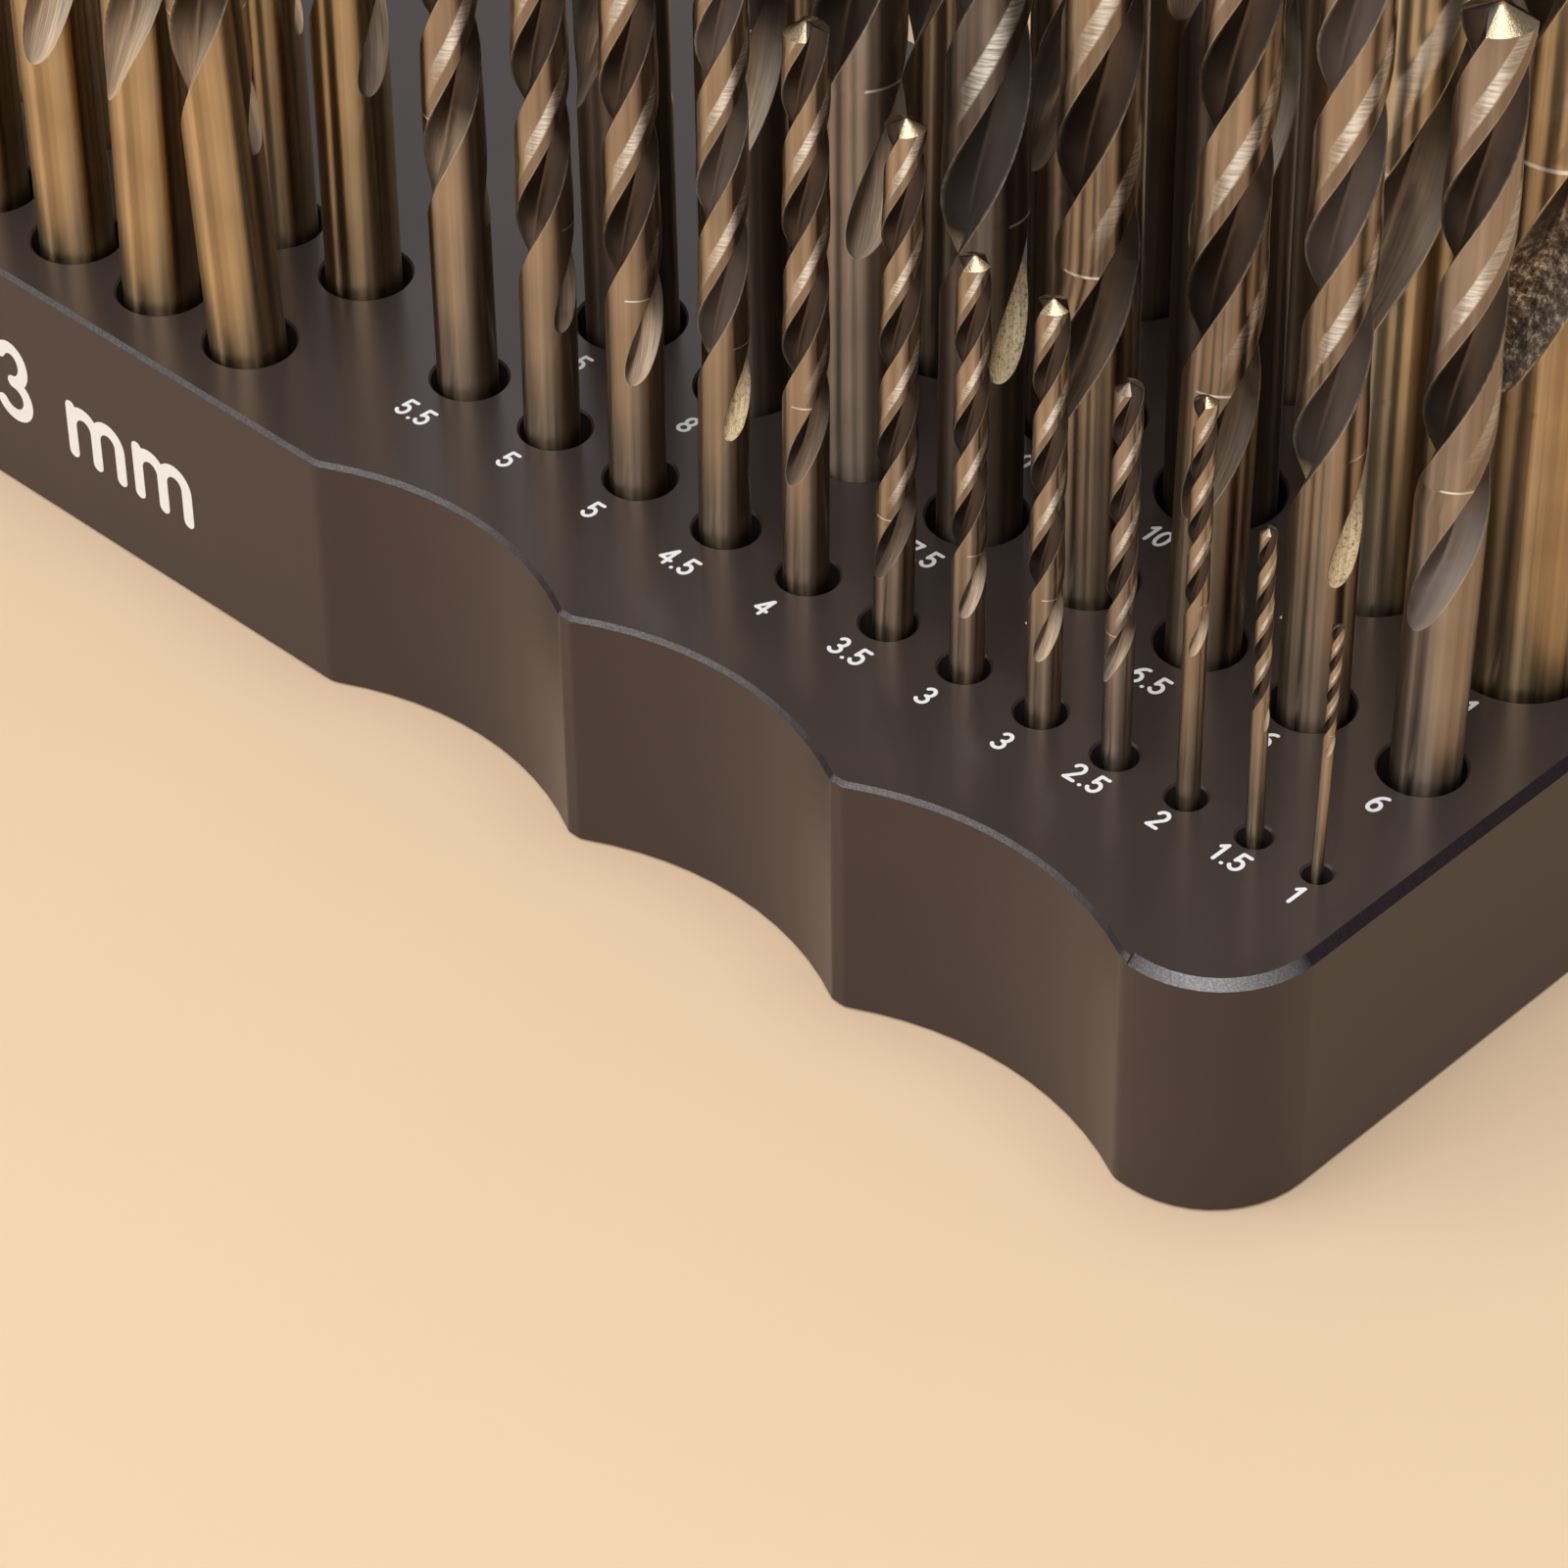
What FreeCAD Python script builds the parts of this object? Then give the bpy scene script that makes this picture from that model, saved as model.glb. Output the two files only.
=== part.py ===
import FreeCAD, Part
import math
import os

# Drill bit stand: one block with three groups of holes and 59 loose bits.
# Millimetres, +Z up, origin at the centre of the block's bottom face.
# +X runs to the right along the front, -Y is the front with the scallops.

BLOCK_LENGTH = 290.0
BLOCK_DEPTH = 85.0
BLOCK_HEIGHT = 25.0
CORNER_RADIUS = 10.0

SCALLOP_RADIUS = 31.5
SCALLOP_DEPTH = 3.9
SCALLOP_PITCH = 31.8
FIRST_SCALLOP_X = 54.7
SCALLOPS_PER_SIDE = 3
NOSE_FILLET = 1.0
CUSP_FILLET = 2.5

FRONT_CHAMFER = 0.4
OUTER_CHAMFER = 0.8
BOTTOM_CHAMFER = 0.3
OUTER_CHAMFER_FROM_X = 134.2

HOLE_CLEARANCE = 1.5
HOLE_EDGE_BREAK = 0.2
SHALLOW_HOLE = 8.5
DEEP_HOLE = 19.0
SHALLOW_UP_TO = 2.0
FLOOR_GAP = 0.15

ROW_Y = (-24.5, -8.45, 8.5, 27.5)

INCH = 25.4

# Standard jobber bits: diameter, overall length and flute length.
METRIC_LENGTHS = {
    1.0: (34, 12), 1.5: (40, 18), 2.0: (49, 24), 2.5: (57, 30), 3.0: (61, 33),
    3.5: (70, 39), 4.0: (75, 43), 4.5: (80, 47), 5.0: (86, 52), 5.5: (93, 57),
    6.0: (93, 57), 6.5: (101, 63), 7.0: (109, 69), 7.5: (109, 69), 8.0: (117, 75),
    8.5: (117, 75), 9.0: (125, 81), 9.5: (125, 81), 10.0: (133, 87), 10.5: (133, 87),
    11.0: (142, 94), 11.5: (142, 94), 12.0: (151, 101), 12.5: (151, 101), 13.0: (151, 101),
}
# The same for inch bits, by 32nds of an inch: overall and flute length in inches.
INCH_LENGTHS = {
    2: (1.875, 0.875), 3: (2.25, 1.25), 4: (2.75, 1.625), 5: (3.125, 2.0),
    6: (3.5, 2.3125), 7: (3.75, 2.5), 8: (4.0, 2.75), 9: (4.25, 2.9375),
    10: (4.5, 3.1875), 11: (4.75, 3.4375), 12: (5.0, 3.625), 13: (5.25, 3.875),
    14: (5.5, 4.0625), 15: (5.75, 4.3125), 16: (6.0, 4.5),
}

# Right group: for each row the diameters and the x of their holes.
RIGHT_ROWS = (
    ((1.0, 138.65), (1.5, 132.0), (2.0, 124.75), (2.5, 117.0), (3.0, 108.75), (3.0, 100.15),
     (3.5, 91.45), (4.0, 82.05), (4.5, 72.3), (5.0, 61.8), (5.0, 51.25), (5.5, 40.3)),
    ((6.0, 136.4), (6.0, 124.55), (6.5, 112.4), (7.0, 100.0), (7.5, 86.9), (8.0, 73.1),
     (8.0, 59.25), (8.5, 44.65)),
    ((11.0, 133.4), (10.5, 116.9), (10.0, 100.1), (10.0, 84.0), (9.5, 68.1), (9.0, 52.8)),
    ((11.5, 128.5), (12.0, 110.55), (12.5, 92.1), (13.0, 73.15)),
)
# Left group, by 32nds of an inch: each row is spread over the mirrored span of the right one.
LEFT_ROWS = (
    (2, 3, 4, 4, 5, 6, 6),
    (7, 8, 8, 9, 10),
    (13, 12, 12, 11),
    (14, 15, 16),
)
# Centre group: unlabelled bits on a rectangular grid.
CENTRE_SIZE = 7.0
CENTRE_COLUMNS = 5
CENTRE_ROWS = 2
CENTRE_START = (-25.6, -34.1)
CENTRE_STEP = (11.85, 14.25)

# Directions in which the bits' small leans and the sides of their run-outs were read.
VIEW_RIGHT = math.radians(44.5)
VIEW_NEAR = math.radians(-45.5)

# Bits whose run-out was read, by row and place in the row: height of the flutes' lower end above
# the top face, and the angle of that end from the near side.
RUNOUTS = {
    (0, 0): (12.6, -13), (0, 1): (11.55, 27), (0, 2): (15.5, -21), (0, 3): (8.1, -78),
    (0, 4): (6.4, -25), (0, 5): (6.3, -17), (0, 6): (5.45, -61), (0, 7): (10.8, -43),
    (0, 8): (10.95, 14), (0, 9): (11.7, -4), (0, 10): (11.85, 30), (1, 0): (15.85, -54),
    (1, 1): (14.8, 19), (1, 2): (14.8, -43), (1, 3): (16.3, -82), (1, 4): (16.55, 23),
    (2, 0): (29.2, -66), (2, 1): (22.3, -80),
}
# Bits whose lean was read: sideways offset at the top face and lean in degrees.
LEANS = {
    (0, 0): (-0.04, 1.3), (0, 1): (0.01, -0.08), (0, 2): (0.12, 0.28), (0, 3): (0.05, 0.31),
    (0, 4): (0.17, 0.34), (0, 5): (0.2, 0.5), (0, 6): (0.38, 1.24), (0, 7): (-0.18, 0.63),
    (0, 8): (-0.13, 0.87), (0, 9): (-0.19, 0.58), (0, 10): (-0.3, 0.67), (0, 11): (-0.14, 0.19),
    (1, 0): (0.26, 1.09), (1, 2): (0.25, 1.11),
}
CENTRE_LEANS = {(4, 0): (-0.21, -1.6), (3, 0): (-0.1, 1.15)}
USUAL_LEAN = 0.6
USUAL_OFFSET = 0.2
GOLDEN_ANGLE = math.radians(137.5)
LEFT_TURN_START = 5
CENTRE_TURN_START = 3

# Bit shape, as shares of the diameter or the radius.
LEAD = 6.2
WEB = 0.34
LAND_RELIEF = 0.05
RUNOUT_LENGTH = 2.0
TWIST_EASE = 0.8
SHANK_CHAMFER = 0.06
POINT_HALF_ANGLE = math.radians(65)
LIP_RELIEF = 0.12
CREASE_SOFTNESS = 0.05

# Rows of points along a bit.
EASE_ROWS = 4
RUNOUT_ROWS = 8
ROWS_PER_TURN = 8
FEWEST_TURN_ROWS = 4

# Columns of one half of the section, in degrees from the heel edge of the land.
LAND_COLUMNS = (0, 20, 40, 56, 64, 70, 77, 87, 98)
FLUTE_COLUMNS = (98, 103, 110, 118, 127, 137, 147, 156, 164, 172, 180)
MARGIN_FROM = math.radians(57)
MARGIN_TO = math.radians(75)
LIP_ANGLE = math.radians(98)
# Where the flute's rounded lower end lies, and the share of the run-out that its heel edge takes
# to reach its full width. The lip edge takes the whole run-out.
RUNOUT_END = math.radians(161)
HEEL_OPENING = 0.15
# Deepest place of the flute as a share of its width, and how its two walls rise from there.
TROUGH_SHARE = 0.378
FACE_POWER = 2.3
BACK_POWER = 1.8

# How far cutters reach past the block, and how close an edge must be to be picked.
CUTTER_REACH = 0.4
SAME_PLACE = 1e-6
NEAR_PLACE = 0.1


def smooth_step(value):
    """Ease from 0 to 1 while value runs from 0 to 1."""
    value = min(1.0, max(0.0, value))
    return value * value * (3 - 2 * value)


def soft_min(first, second, softness):
    """Return the smaller value, rounded off where the two are close."""
    return 0.5 * (first + second - math.sqrt((first - second) ** 2 + softness ** 2))


def quarter(value):
    """Height of a quarter circle: rises steeply from 0 and levels out at 1."""
    value = min(1.0, max(0.0, value))
    return math.sqrt(1 - (1 - value) ** 2)


def hump(value):
    """0 at both ends and 1 in the middle while value runs from 0 to 1."""
    return 4 * value * (1 - value)


def flute_depth(share):
    """Depth of the full flute over its width, 1 at the trough, 0 at the edges, below 0 outside."""
    if share < TROUGH_SHARE:
        return 1 - ((TROUGH_SHARE - share) / TROUGH_SHARE) ** FACE_POWER
    return 1 - ((share - TROUGH_SHARE) / (1 - TROUGH_SHARE)) ** BACK_POWER


def section(angle, in_flute, progress):
    """Radius share at an angle of one half section; progress runs 0 to 1 over the run-out."""
    relief = LAND_RELIEF * smooth_step(progress)
    margin = smooth_step((angle - MARGIN_FROM) / (MARGIN_TO - MARGIN_FROM))
    if not in_flute:
        return 1 - relief * (1 - margin)
    across = (angle - LIP_ANGLE) / (math.pi - LIP_ANGLE)
    surface = 1 - relief * smooth_step(across)
    if progress <= 0:
        return surface
    lip = RUNOUT_END - (RUNOUT_END - LIP_ANGLE) * quarter(progress)
    heel = RUNOUT_END + (math.pi - RUNOUT_END) * quarter(progress / HEEL_OPENING)
    opening = 1 - (1 - progress) ** 2
    floor = surface - (surface - WEB) * opening * flute_depth((angle - lip) / (heel - lip))
    softness = CREASE_SOFTNESS * hump(across) * hump(progress)
    return floor if progress >= 1 else soft_min(surface, floor, softness)


def twist(height, low, diameter):
    """Turning height of the columns, counted from the flutes' lower end and eased in below it."""
    ease = TWIST_EASE * diameter
    if height >= low:
        return height - low
    eased = max(0.0, height - low + ease)
    return 0.5 * (eased ** 2 / ease - ease)


def spline(points, parameters):
    """Return the cubic spline through points at the given parameters."""
    curve = Part.BSplineCurve()
    curve.interpolate(Points=list(points), Parameters=list(parameters))
    return curve


def patch(rows, across, along):
    """Face through a grid of points, splined along each row and then from row to row."""
    row_curves = [spline(row, across) for row in rows]
    row_poles = [curve.getPoles() for curve in row_curves]
    column_curves = [spline(column, along) for column in zip(*row_poles)]
    grid = zip(*[curve.getPoles() for curve in column_curves])
    surface = Part.BSplineSurface()
    surface.buildFromPolesMultsKnots(
        [list(row) for row in grid],
        column_curves[0].getMultiplicities(), row_curves[0].getMultiplicities(),
        column_curves[0].getKnots(), row_curves[0].getKnots(), False, False, 3, 3)
    return surface.toShape()


def ruled(first_poles, second_poles, curve):
    """Face of straight lines between two curves that share the knots of a third."""
    surface = Part.BSplineSurface()
    surface.buildFromPolesMultsKnots(
        [first_poles, second_poles], [2, 2], curve.getMultiplicities(),
        [0, 1], curve.getKnots(), False, False, 1, 3)
    return surface.toShape()


def row_heights(low, top, diameter):
    """Heights of the rows of points from the upper end of the plain shank to the point."""
    ease = TWIST_EASE * diameter
    heights = [low - ease * (1 - index / EASE_ROWS) for index in range(EASE_ROWS)]
    runout_end = low + RUNOUT_LENGTH * diameter
    for index in range(RUNOUT_ROWS):
        heights.append(low + (runout_end - low) * index / RUNOUT_ROWS)
    turns = (top - runout_end) / (LEAD * diameter)
    count = max(FEWEST_TURN_ROWS, math.ceil(turns * ROWS_PER_TURN))
    for index in range(count + 1):
        heights.append(runout_end + (top - runout_end) * index / count)
    return heights


def make_bit(diameter, length, low, spin):
    """Twist bit standing on its shank at the origin, its flutes ending at height low."""
    radius = 0.5 * diameter
    slope = 1 / math.tan(POINT_HALF_ANGLE)
    top = length - radius * slope
    heights = row_heights(low, top, diameter)
    runout = RUNOUT_LENGTH * diameter
    chamfer = SHANK_CHAMFER * diameter
    apex = FreeCAD.Vector(0, 0, length)

    def place(angle, share, height):
        turned = spin + angle - RUNOUT_END
        turned += 2 * math.pi * twist(height, low, diameter) / (LEAD * diameter)
        return FreeCAD.Vector(
            radius * share * math.cos(turned), radius * share * math.sin(turned), height)

    def row(columns, in_flute, half, height, share=None):
        points = []
        for degrees in columns:
            angle = math.radians(degrees)
            progress = min(1.0, max(0.0, (height - low) / runout))
            around = section(angle, in_flute, progress) if share is None else share
            turn_share = angle / LIP_ANGLE
            if in_flute:
                turn_share = (math.pi - angle) / (math.pi - LIP_ANGLE)
            full = section(angle, in_flute, 1.0)
            end = length - radius * full * (slope + LIP_RELIEF * (1 - turn_share))
            actual = height
            if height > low:
                actual = low + (height - low) * (end - low) / (top - low)
            points.append(place(angle + half, around, actual))
        return points

    faces = []
    foot_edges = []
    for half in (0.0, math.pi):
        for columns, in_flute in ((LAND_COLUMNS, False), (FLUTE_COLUMNS, True)):
            rows = [row(columns, in_flute, half, height) for height in heights]
            foot = row(columns, in_flute, half, 0.0, share=1 - 2 * SHANK_CHAMFER)
            edge = row(columns, in_flute, half, chamfer, share=1.0)
            foot, edge, shank, lip = [
                spline(points, columns) for points in (foot, edge, rows[0], rows[-1])]
            faces.append(ruled(foot.getPoles(), edge.getPoles(), lip))
            faces.append(ruled(edge.getPoles(), shank.getPoles(), lip))
            faces.append(patch(rows, columns, heights))
            faces.append(ruled(lip.getPoles(), [apex] * lip.NbPoles, lip))
            foot_edges.append(foot.toShape())
    faces.append(Part.Face(Part.Wire(foot_edges)))
    shell = Part.makeShell(faces)
    shell.sewShape()
    solid = Part.makeSolid(shell)
    if solid.Volume < 0:
        solid.reverse()
    return solid


def lean_bit(solid, bit):
    """Set a standing bit into its hole: tilted about its foot and moved to its place."""
    solid = solid.copy()
    up = FreeCAD.Vector(0, 0, 1)
    solid.Placement = FreeCAD.Placement(bit["foot"], FreeCAD.Rotation(up, bit["axis"]))
    return solid


def bit_plan(name, diameter, lengths, x, y, runout, offset, lean_degrees, lean_towards):
    """Work out where one bit stands: its foot, axis, flute start and turn about its axis."""
    depth = hole_depth(diameter)
    slope = math.tan(math.radians(lean_degrees))
    side = FreeCAD.Vector(math.cos(lean_towards), math.sin(lean_towards), 0)
    axis = (side * slope + FreeCAD.Vector(0, 0, 1)).normalize()
    rise = FLOOR_GAP + 0.5 * diameter * abs(slope)
    foot_height = BLOCK_HEIGHT - depth + rise
    foot = FreeCAD.Vector(x, y, foot_height) + side * (offset - slope * (depth - rise))
    length, flute = lengths
    height, angle = runout
    low = length - flute if height is None else height + depth - rise
    return {
        "name": name, "diameter": diameter, "length": length, "low": low,
        "spin": VIEW_NEAR + math.radians(angle), "foot": foot, "axis": axis,
        "hole": (x, y, depth),
    }


def hole_depth(diameter):
    """Depth of the hole for a bit."""
    return SHALLOW_HOLE if diameter <= SHALLOW_UP_TO else DEEP_HOLE


def usual_pose(count):
    """Run-out angle, offset, lean and its direction for a bit that wasn't read."""
    turn = count * GOLDEN_ANGLE
    return (None, math.degrees(turn) % 360), USUAL_OFFSET, USUAL_LEAN * math.cos(turn), turn


def metric_name(diameter):
    """Node name of a metric bit, such as bit_3_5mm."""
    return f"bit_{diameter:g}mm".replace(".", "_")


def inch_name(count):
    """Node name of an inch bit from its size in 32nds, such as bit_3_16in."""
    common = math.gcd(count, 32)
    return f"bit_{count // common}_{32 // common}in"


def numbered(names):
    """Add _a and _b to names that come twice."""
    result = []
    for index, name in enumerate(names):
        if names.count(name) > 1:
            name += ("_a", "_b")[names[:index].count(name)]
        result.append(name)
    return result


def right_group():
    """Plans of the metric bits on the right."""
    sizes = [(row, place, size, x) for row, line in enumerate(RIGHT_ROWS)
             for place, (size, x) in enumerate(line)]
    names = numbered([metric_name(size) for row, place, size, x in sizes])
    plans = []
    for count, (row, place, size, x) in enumerate(sizes):
        runout, offset, lean, towards = usual_pose(count)
        runout = RUNOUTS.get((row, place), runout)
        if (row, place) in LEANS:
            offset, lean = LEANS[(row, place)]
            towards = VIEW_RIGHT
        plans.append(bit_plan(names[count], size, METRIC_LENGTHS[size], x, ROW_Y[row],
                              runout, offset, lean, towards))
    return plans


def spread(sizes, first, last):
    """Hole centres from first to last with the same web between neighbouring holes."""
    holes = [size + HOLE_CLEARANCE for size in sizes]
    between = sum(holes) - 0.5 * (holes[0] + holes[-1])
    web = (abs(last - first) - between) / (len(sizes) - 1)
    direction = math.copysign(1, last - first)
    centres = [first]
    for left, right in zip(holes, holes[1:]):
        centres.append(centres[-1] + direction * (0.5 * (left + right) + web))
    return centres


def left_group():
    """Plans of the inch bits on the left."""
    bits = []
    for row, line in enumerate(LEFT_ROWS):
        sizes = [count * INCH / 32 for count in line]
        xs = [x for size, x in RIGHT_ROWS[row]]
        for count, size, x in zip(line, sizes, spread(sizes, -xs[0], -xs[-1])):
            bits.append((row, count, size, x))
    names = numbered([inch_name(count) for row, count, size, x in bits])
    plans = []
    for index, (row, count, size, x) in enumerate(bits):
        lengths = [value * INCH for value in INCH_LENGTHS[count]]
        pose = usual_pose(index + LEFT_TURN_START)
        plans.append(bit_plan(names[index], size, lengths, x, ROW_Y[row], *pose))
    return plans


def centre_group():
    """Plans of the unlabelled bits in the middle."""
    plans = []
    for row in range(CENTRE_ROWS):
        for column in range(CENTRE_COLUMNS):
            runout, offset, lean, towards = usual_pose(len(plans) + CENTRE_TURN_START)
            if (column, row) in CENTRE_LEANS:
                offset, lean = CENTRE_LEANS[(column, row)]
                towards = VIEW_RIGHT
            plans.append(bit_plan(
                f"bit_centre_{row + 1}_{column + 1}", CENTRE_SIZE, METRIC_LENGTHS[CENTRE_SIZE],
                CENTRE_START[0] + column * CENTRE_STEP[0],
                CENTRE_START[1] + row * CENTRE_STEP[1], runout, offset, lean, towards))
    return plans


def scallop_centres():
    """x of every scallop's deepest line."""
    return [side * (FIRST_SCALLOP_X + index * SCALLOP_PITCH)
            for side in (-1, 1) for index in range(SCALLOPS_PER_SIDE)]


def vertical_edges(shape, wanted):
    """Vertical edges of a shape whose place passes a test."""
    return [edge for edge in shape.Edges
            if len(edge.Vertexes) == 2
            and abs(edge.Vertexes[0].X - edge.Vertexes[1].X) < SAME_PLACE
            and abs(edge.Vertexes[0].Y - edge.Vertexes[1].Y) < SAME_PLACE
            and wanted(edge.Vertexes[0].X, edge.Vertexes[0].Y)]


def edges_at(shape, height):
    """Edges that lie wholly at a height."""
    return [edge for edge in shape.Edges
            if abs(edge.BoundBox.ZMin - height) < SAME_PLACE
            and abs(edge.BoundBox.ZMax - height) < SAME_PLACE]


def rounded_loop(inset, height):
    """Outer outline of the block, without scallops, moved inwards."""
    half_x = 0.5 * BLOCK_LENGTH - inset
    half_y = 0.5 * BLOCK_DEPTH - inset
    radius = CORNER_RADIUS - inset
    box = Part.makeBox(2 * half_x, 2 * half_y, 1, FreeCAD.Vector(-half_x, -half_y, height))
    box = box.makeFillet(radius, vertical_edges(box, lambda x, y: True))
    lower = [face for face in box.Faces if abs(face.BoundBox.ZMax - height) < SAME_PLACE][0]
    return lower.OuterWire


def outer_chamfer_cutter():
    """Ring that takes the larger chamfer off the corners, sides and rear."""
    reach = CUTTER_REACH
    front = -0.5 * BLOCK_DEPTH
    from_height = BLOCK_HEIGHT - OUTER_CHAMFER
    frustum = Part.makeLoft([rounded_loop(-reach, from_height - reach),
                             rounded_loop(OUTER_CHAMFER + reach, BLOCK_HEIGHT + reach)], True, True)
    slab = Part.makeBox(
        BLOCK_LENGTH + 4 * reach, BLOCK_DEPTH + 4 * reach, OUTER_CHAMFER + reach,
        FreeCAD.Vector(-0.5 * BLOCK_LENGTH - 2 * reach, front - 2 * reach,
                       from_height - 0.5 * reach))
    middle = Part.makeBox(
        2 * OUTER_CHAMFER_FROM_X, 2 * OUTER_CHAMFER + 4 * reach, OUTER_CHAMFER + 4 * reach,
        FreeCAD.Vector(-OUTER_CHAMFER_FROM_X, front - 3 * reach, from_height - 2 * reach))
    return slab.cut([frustum, middle])


def hole_tool(x, y, diameter, depth):
    """Solid of one hole, with its edge break, reaching a little above the block."""
    radius = 0.5 * diameter
    wide = radius + HOLE_EDGE_BREAK
    profile = [(0, -depth), (radius, -depth), (radius, -HOLE_EDGE_BREAK), (wide, 0),
               (wide, CUTTER_REACH), (0, CUTTER_REACH)]
    points = [FreeCAD.Vector(r, 0, z) for r, z in profile]
    face = Part.Face(Part.makePolygon(points + points[:1]))
    tool = face.revolve(FreeCAD.Vector(0, 0, 0), FreeCAD.Vector(0, 0, 1), 360)
    tool.translate(FreeCAD.Vector(x, y, BLOCK_HEIGHT))
    return tool


def make_block(holes):
    """Block with scallops along the front, chamfered edges and all the holes."""
    half_x = 0.5 * BLOCK_LENGTH
    front = -0.5 * BLOCK_DEPTH
    corner = FreeCAD.Vector(-half_x, front, 0)
    block = Part.makeBox(BLOCK_LENGTH, BLOCK_DEPTH, BLOCK_HEIGHT, corner)
    block = block.makeFillet(CORNER_RADIUS, vertical_edges(block, lambda x, y: True))
    centre_y = front - SCALLOP_RADIUS + SCALLOP_DEPTH
    cutters = [Part.makeCylinder(SCALLOP_RADIUS, BLOCK_HEIGHT, FreeCAD.Vector(x, centre_y, 0))
               for x in scallop_centres()]
    block = block.cut(cutters)
    half_chord = math.sqrt(SCALLOP_RADIUS ** 2 - (SCALLOP_RADIUS - SCALLOP_DEPTH) ** 2)
    inner = FIRST_SCALLOP_X - half_chord
    outer = FIRST_SCALLOP_X + (SCALLOPS_PER_SIDE - 1) * SCALLOP_PITCH + half_chord

    def at_front(x, y):
        return abs(y - front) < SAME_PLACE and abs(x) < outer + NEAR_PLACE

    def is_cusp(x, y):
        return at_front(x, y) and min(abs(abs(x) - inner), abs(abs(x) - outer)) < NEAR_PLACE

    def is_nose(x, y):
        return at_front(x, y) and inner + CUSP_FILLET < abs(x) < outer - CUSP_FILLET

    block = block.makeFillet(CUSP_FILLET, vertical_edges(block, is_cusp))
    block = block.makeFillet(NOSE_FILLET, vertical_edges(block, is_nose))
    block = block.makeChamfer(FRONT_CHAMFER, edges_at(block, BLOCK_HEIGHT))
    block = block.makeChamfer(BOTTOM_CHAMFER, edges_at(block, 0))
    block = block.cut(outer_chamfer_cutter())
    return block.cut([hole_tool(*hole) for hole in holes])


plans = right_group() + centre_group() + left_group()


def main():
    """Write one STEP file for the block and one for every bit."""
    os.makedirs("parts", exist_ok=True)
    holes = [(x, y, plan["diameter"] + HOLE_CLEARANCE, depth)
             for plan in plans for x, y, depth in [plan["hole"]]]
    make_block(holes).exportStep("parts/block.step")
    for plan in plans:
        solid = make_bit(plan["diameter"], plan["length"], plan["low"], plan["spin"])
        lean_bit(solid, plan).exportStep(f"parts/{plan['name']}.step")


main()
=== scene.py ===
import math

import bpy
import numpy as np
from mathutils import Matrix, Vector


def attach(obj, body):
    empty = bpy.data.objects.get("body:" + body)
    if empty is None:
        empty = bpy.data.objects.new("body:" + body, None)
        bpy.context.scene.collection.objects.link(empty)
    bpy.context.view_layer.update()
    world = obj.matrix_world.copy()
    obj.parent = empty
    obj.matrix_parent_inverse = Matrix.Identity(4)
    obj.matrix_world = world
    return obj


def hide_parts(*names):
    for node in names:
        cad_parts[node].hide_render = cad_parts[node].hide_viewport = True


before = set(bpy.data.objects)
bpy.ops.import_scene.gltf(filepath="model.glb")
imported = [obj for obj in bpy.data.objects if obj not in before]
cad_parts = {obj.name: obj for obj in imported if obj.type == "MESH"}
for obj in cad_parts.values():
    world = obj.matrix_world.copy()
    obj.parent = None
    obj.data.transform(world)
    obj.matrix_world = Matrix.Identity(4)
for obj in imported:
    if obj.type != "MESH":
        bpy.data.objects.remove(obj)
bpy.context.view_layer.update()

# Drill bit stand: an anodised block with scallops along its front, and loose twist bits.
# The block and the bits repeat the CAD's driving values, in millimetres, and are scaled here.
MM = 0.001

BLOCK_TOP = 25.0
FRONT_Y = -42.5
CORNER_X = 135.0
CORNER_Y = 32.5
CENTRE_HALF = 35.0
HOLE_CLEARANCE = 1.5
SHALLOW_HOLE = 8.5
DEEP_HOLE = 19.0
SHALLOW_UP_TO = 2.0
FLOOR_GAP = 0.15
ROW_Y = (-24.5, -8.45, 8.5, 27.5)
INCH = 25.4

METRIC_LENGTHS = {
    1.0: (34, 12), 1.5: (40, 18), 2.0: (49, 24), 2.5: (57, 30), 3.0: (61, 33),
    3.5: (70, 39), 4.0: (75, 43), 4.5: (80, 47), 5.0: (86, 52), 5.5: (93, 57),
    6.0: (93, 57), 6.5: (101, 63), 7.0: (109, 69), 7.5: (109, 69), 8.0: (117, 75),
    8.5: (117, 75), 9.0: (125, 81), 9.5: (125, 81), 10.0: (133, 87), 10.5: (133, 87),
    11.0: (142, 94), 11.5: (142, 94), 12.0: (151, 101), 12.5: (151, 101), 13.0: (151, 101),
}
INCH_LENGTHS = {
    2: (1.875, 0.875), 3: (2.25, 1.25), 4: (2.75, 1.625), 5: (3.125, 2.0),
    6: (3.5, 2.3125), 7: (3.75, 2.5), 8: (4.0, 2.75), 9: (4.25, 2.9375),
    10: (4.5, 3.1875), 11: (4.75, 3.4375), 12: (5.0, 3.625), 13: (5.25, 3.875),
    14: (5.5, 4.0625), 15: (5.75, 4.3125), 16: (6.0, 4.5),
}
RIGHT_ROWS = (
    ((1.0, 138.65), (1.5, 132.0), (2.0, 124.75), (2.5, 117.0), (3.0, 108.75), (3.0, 100.15),
     (3.5, 91.45), (4.0, 82.05), (4.5, 72.3), (5.0, 61.8), (5.0, 51.25), (5.5, 40.3)),
    ((6.0, 136.4), (6.0, 124.55), (6.5, 112.4), (7.0, 100.0), (7.5, 86.9), (8.0, 73.1),
     (8.0, 59.25), (8.5, 44.65)),
    ((11.0, 133.4), (10.5, 116.9), (10.0, 100.1), (10.0, 84.0), (9.5, 68.1), (9.0, 52.8)),
    ((11.5, 128.5), (12.0, 110.55), (12.5, 92.1), (13.0, 73.15)),
)
LEFT_ROWS = (
    (2, 3, 4, 4, 5, 6, 6),
    (7, 8, 8, 9, 10),
    (13, 12, 12, 11),
    (14, 15, 16),
)
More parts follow.
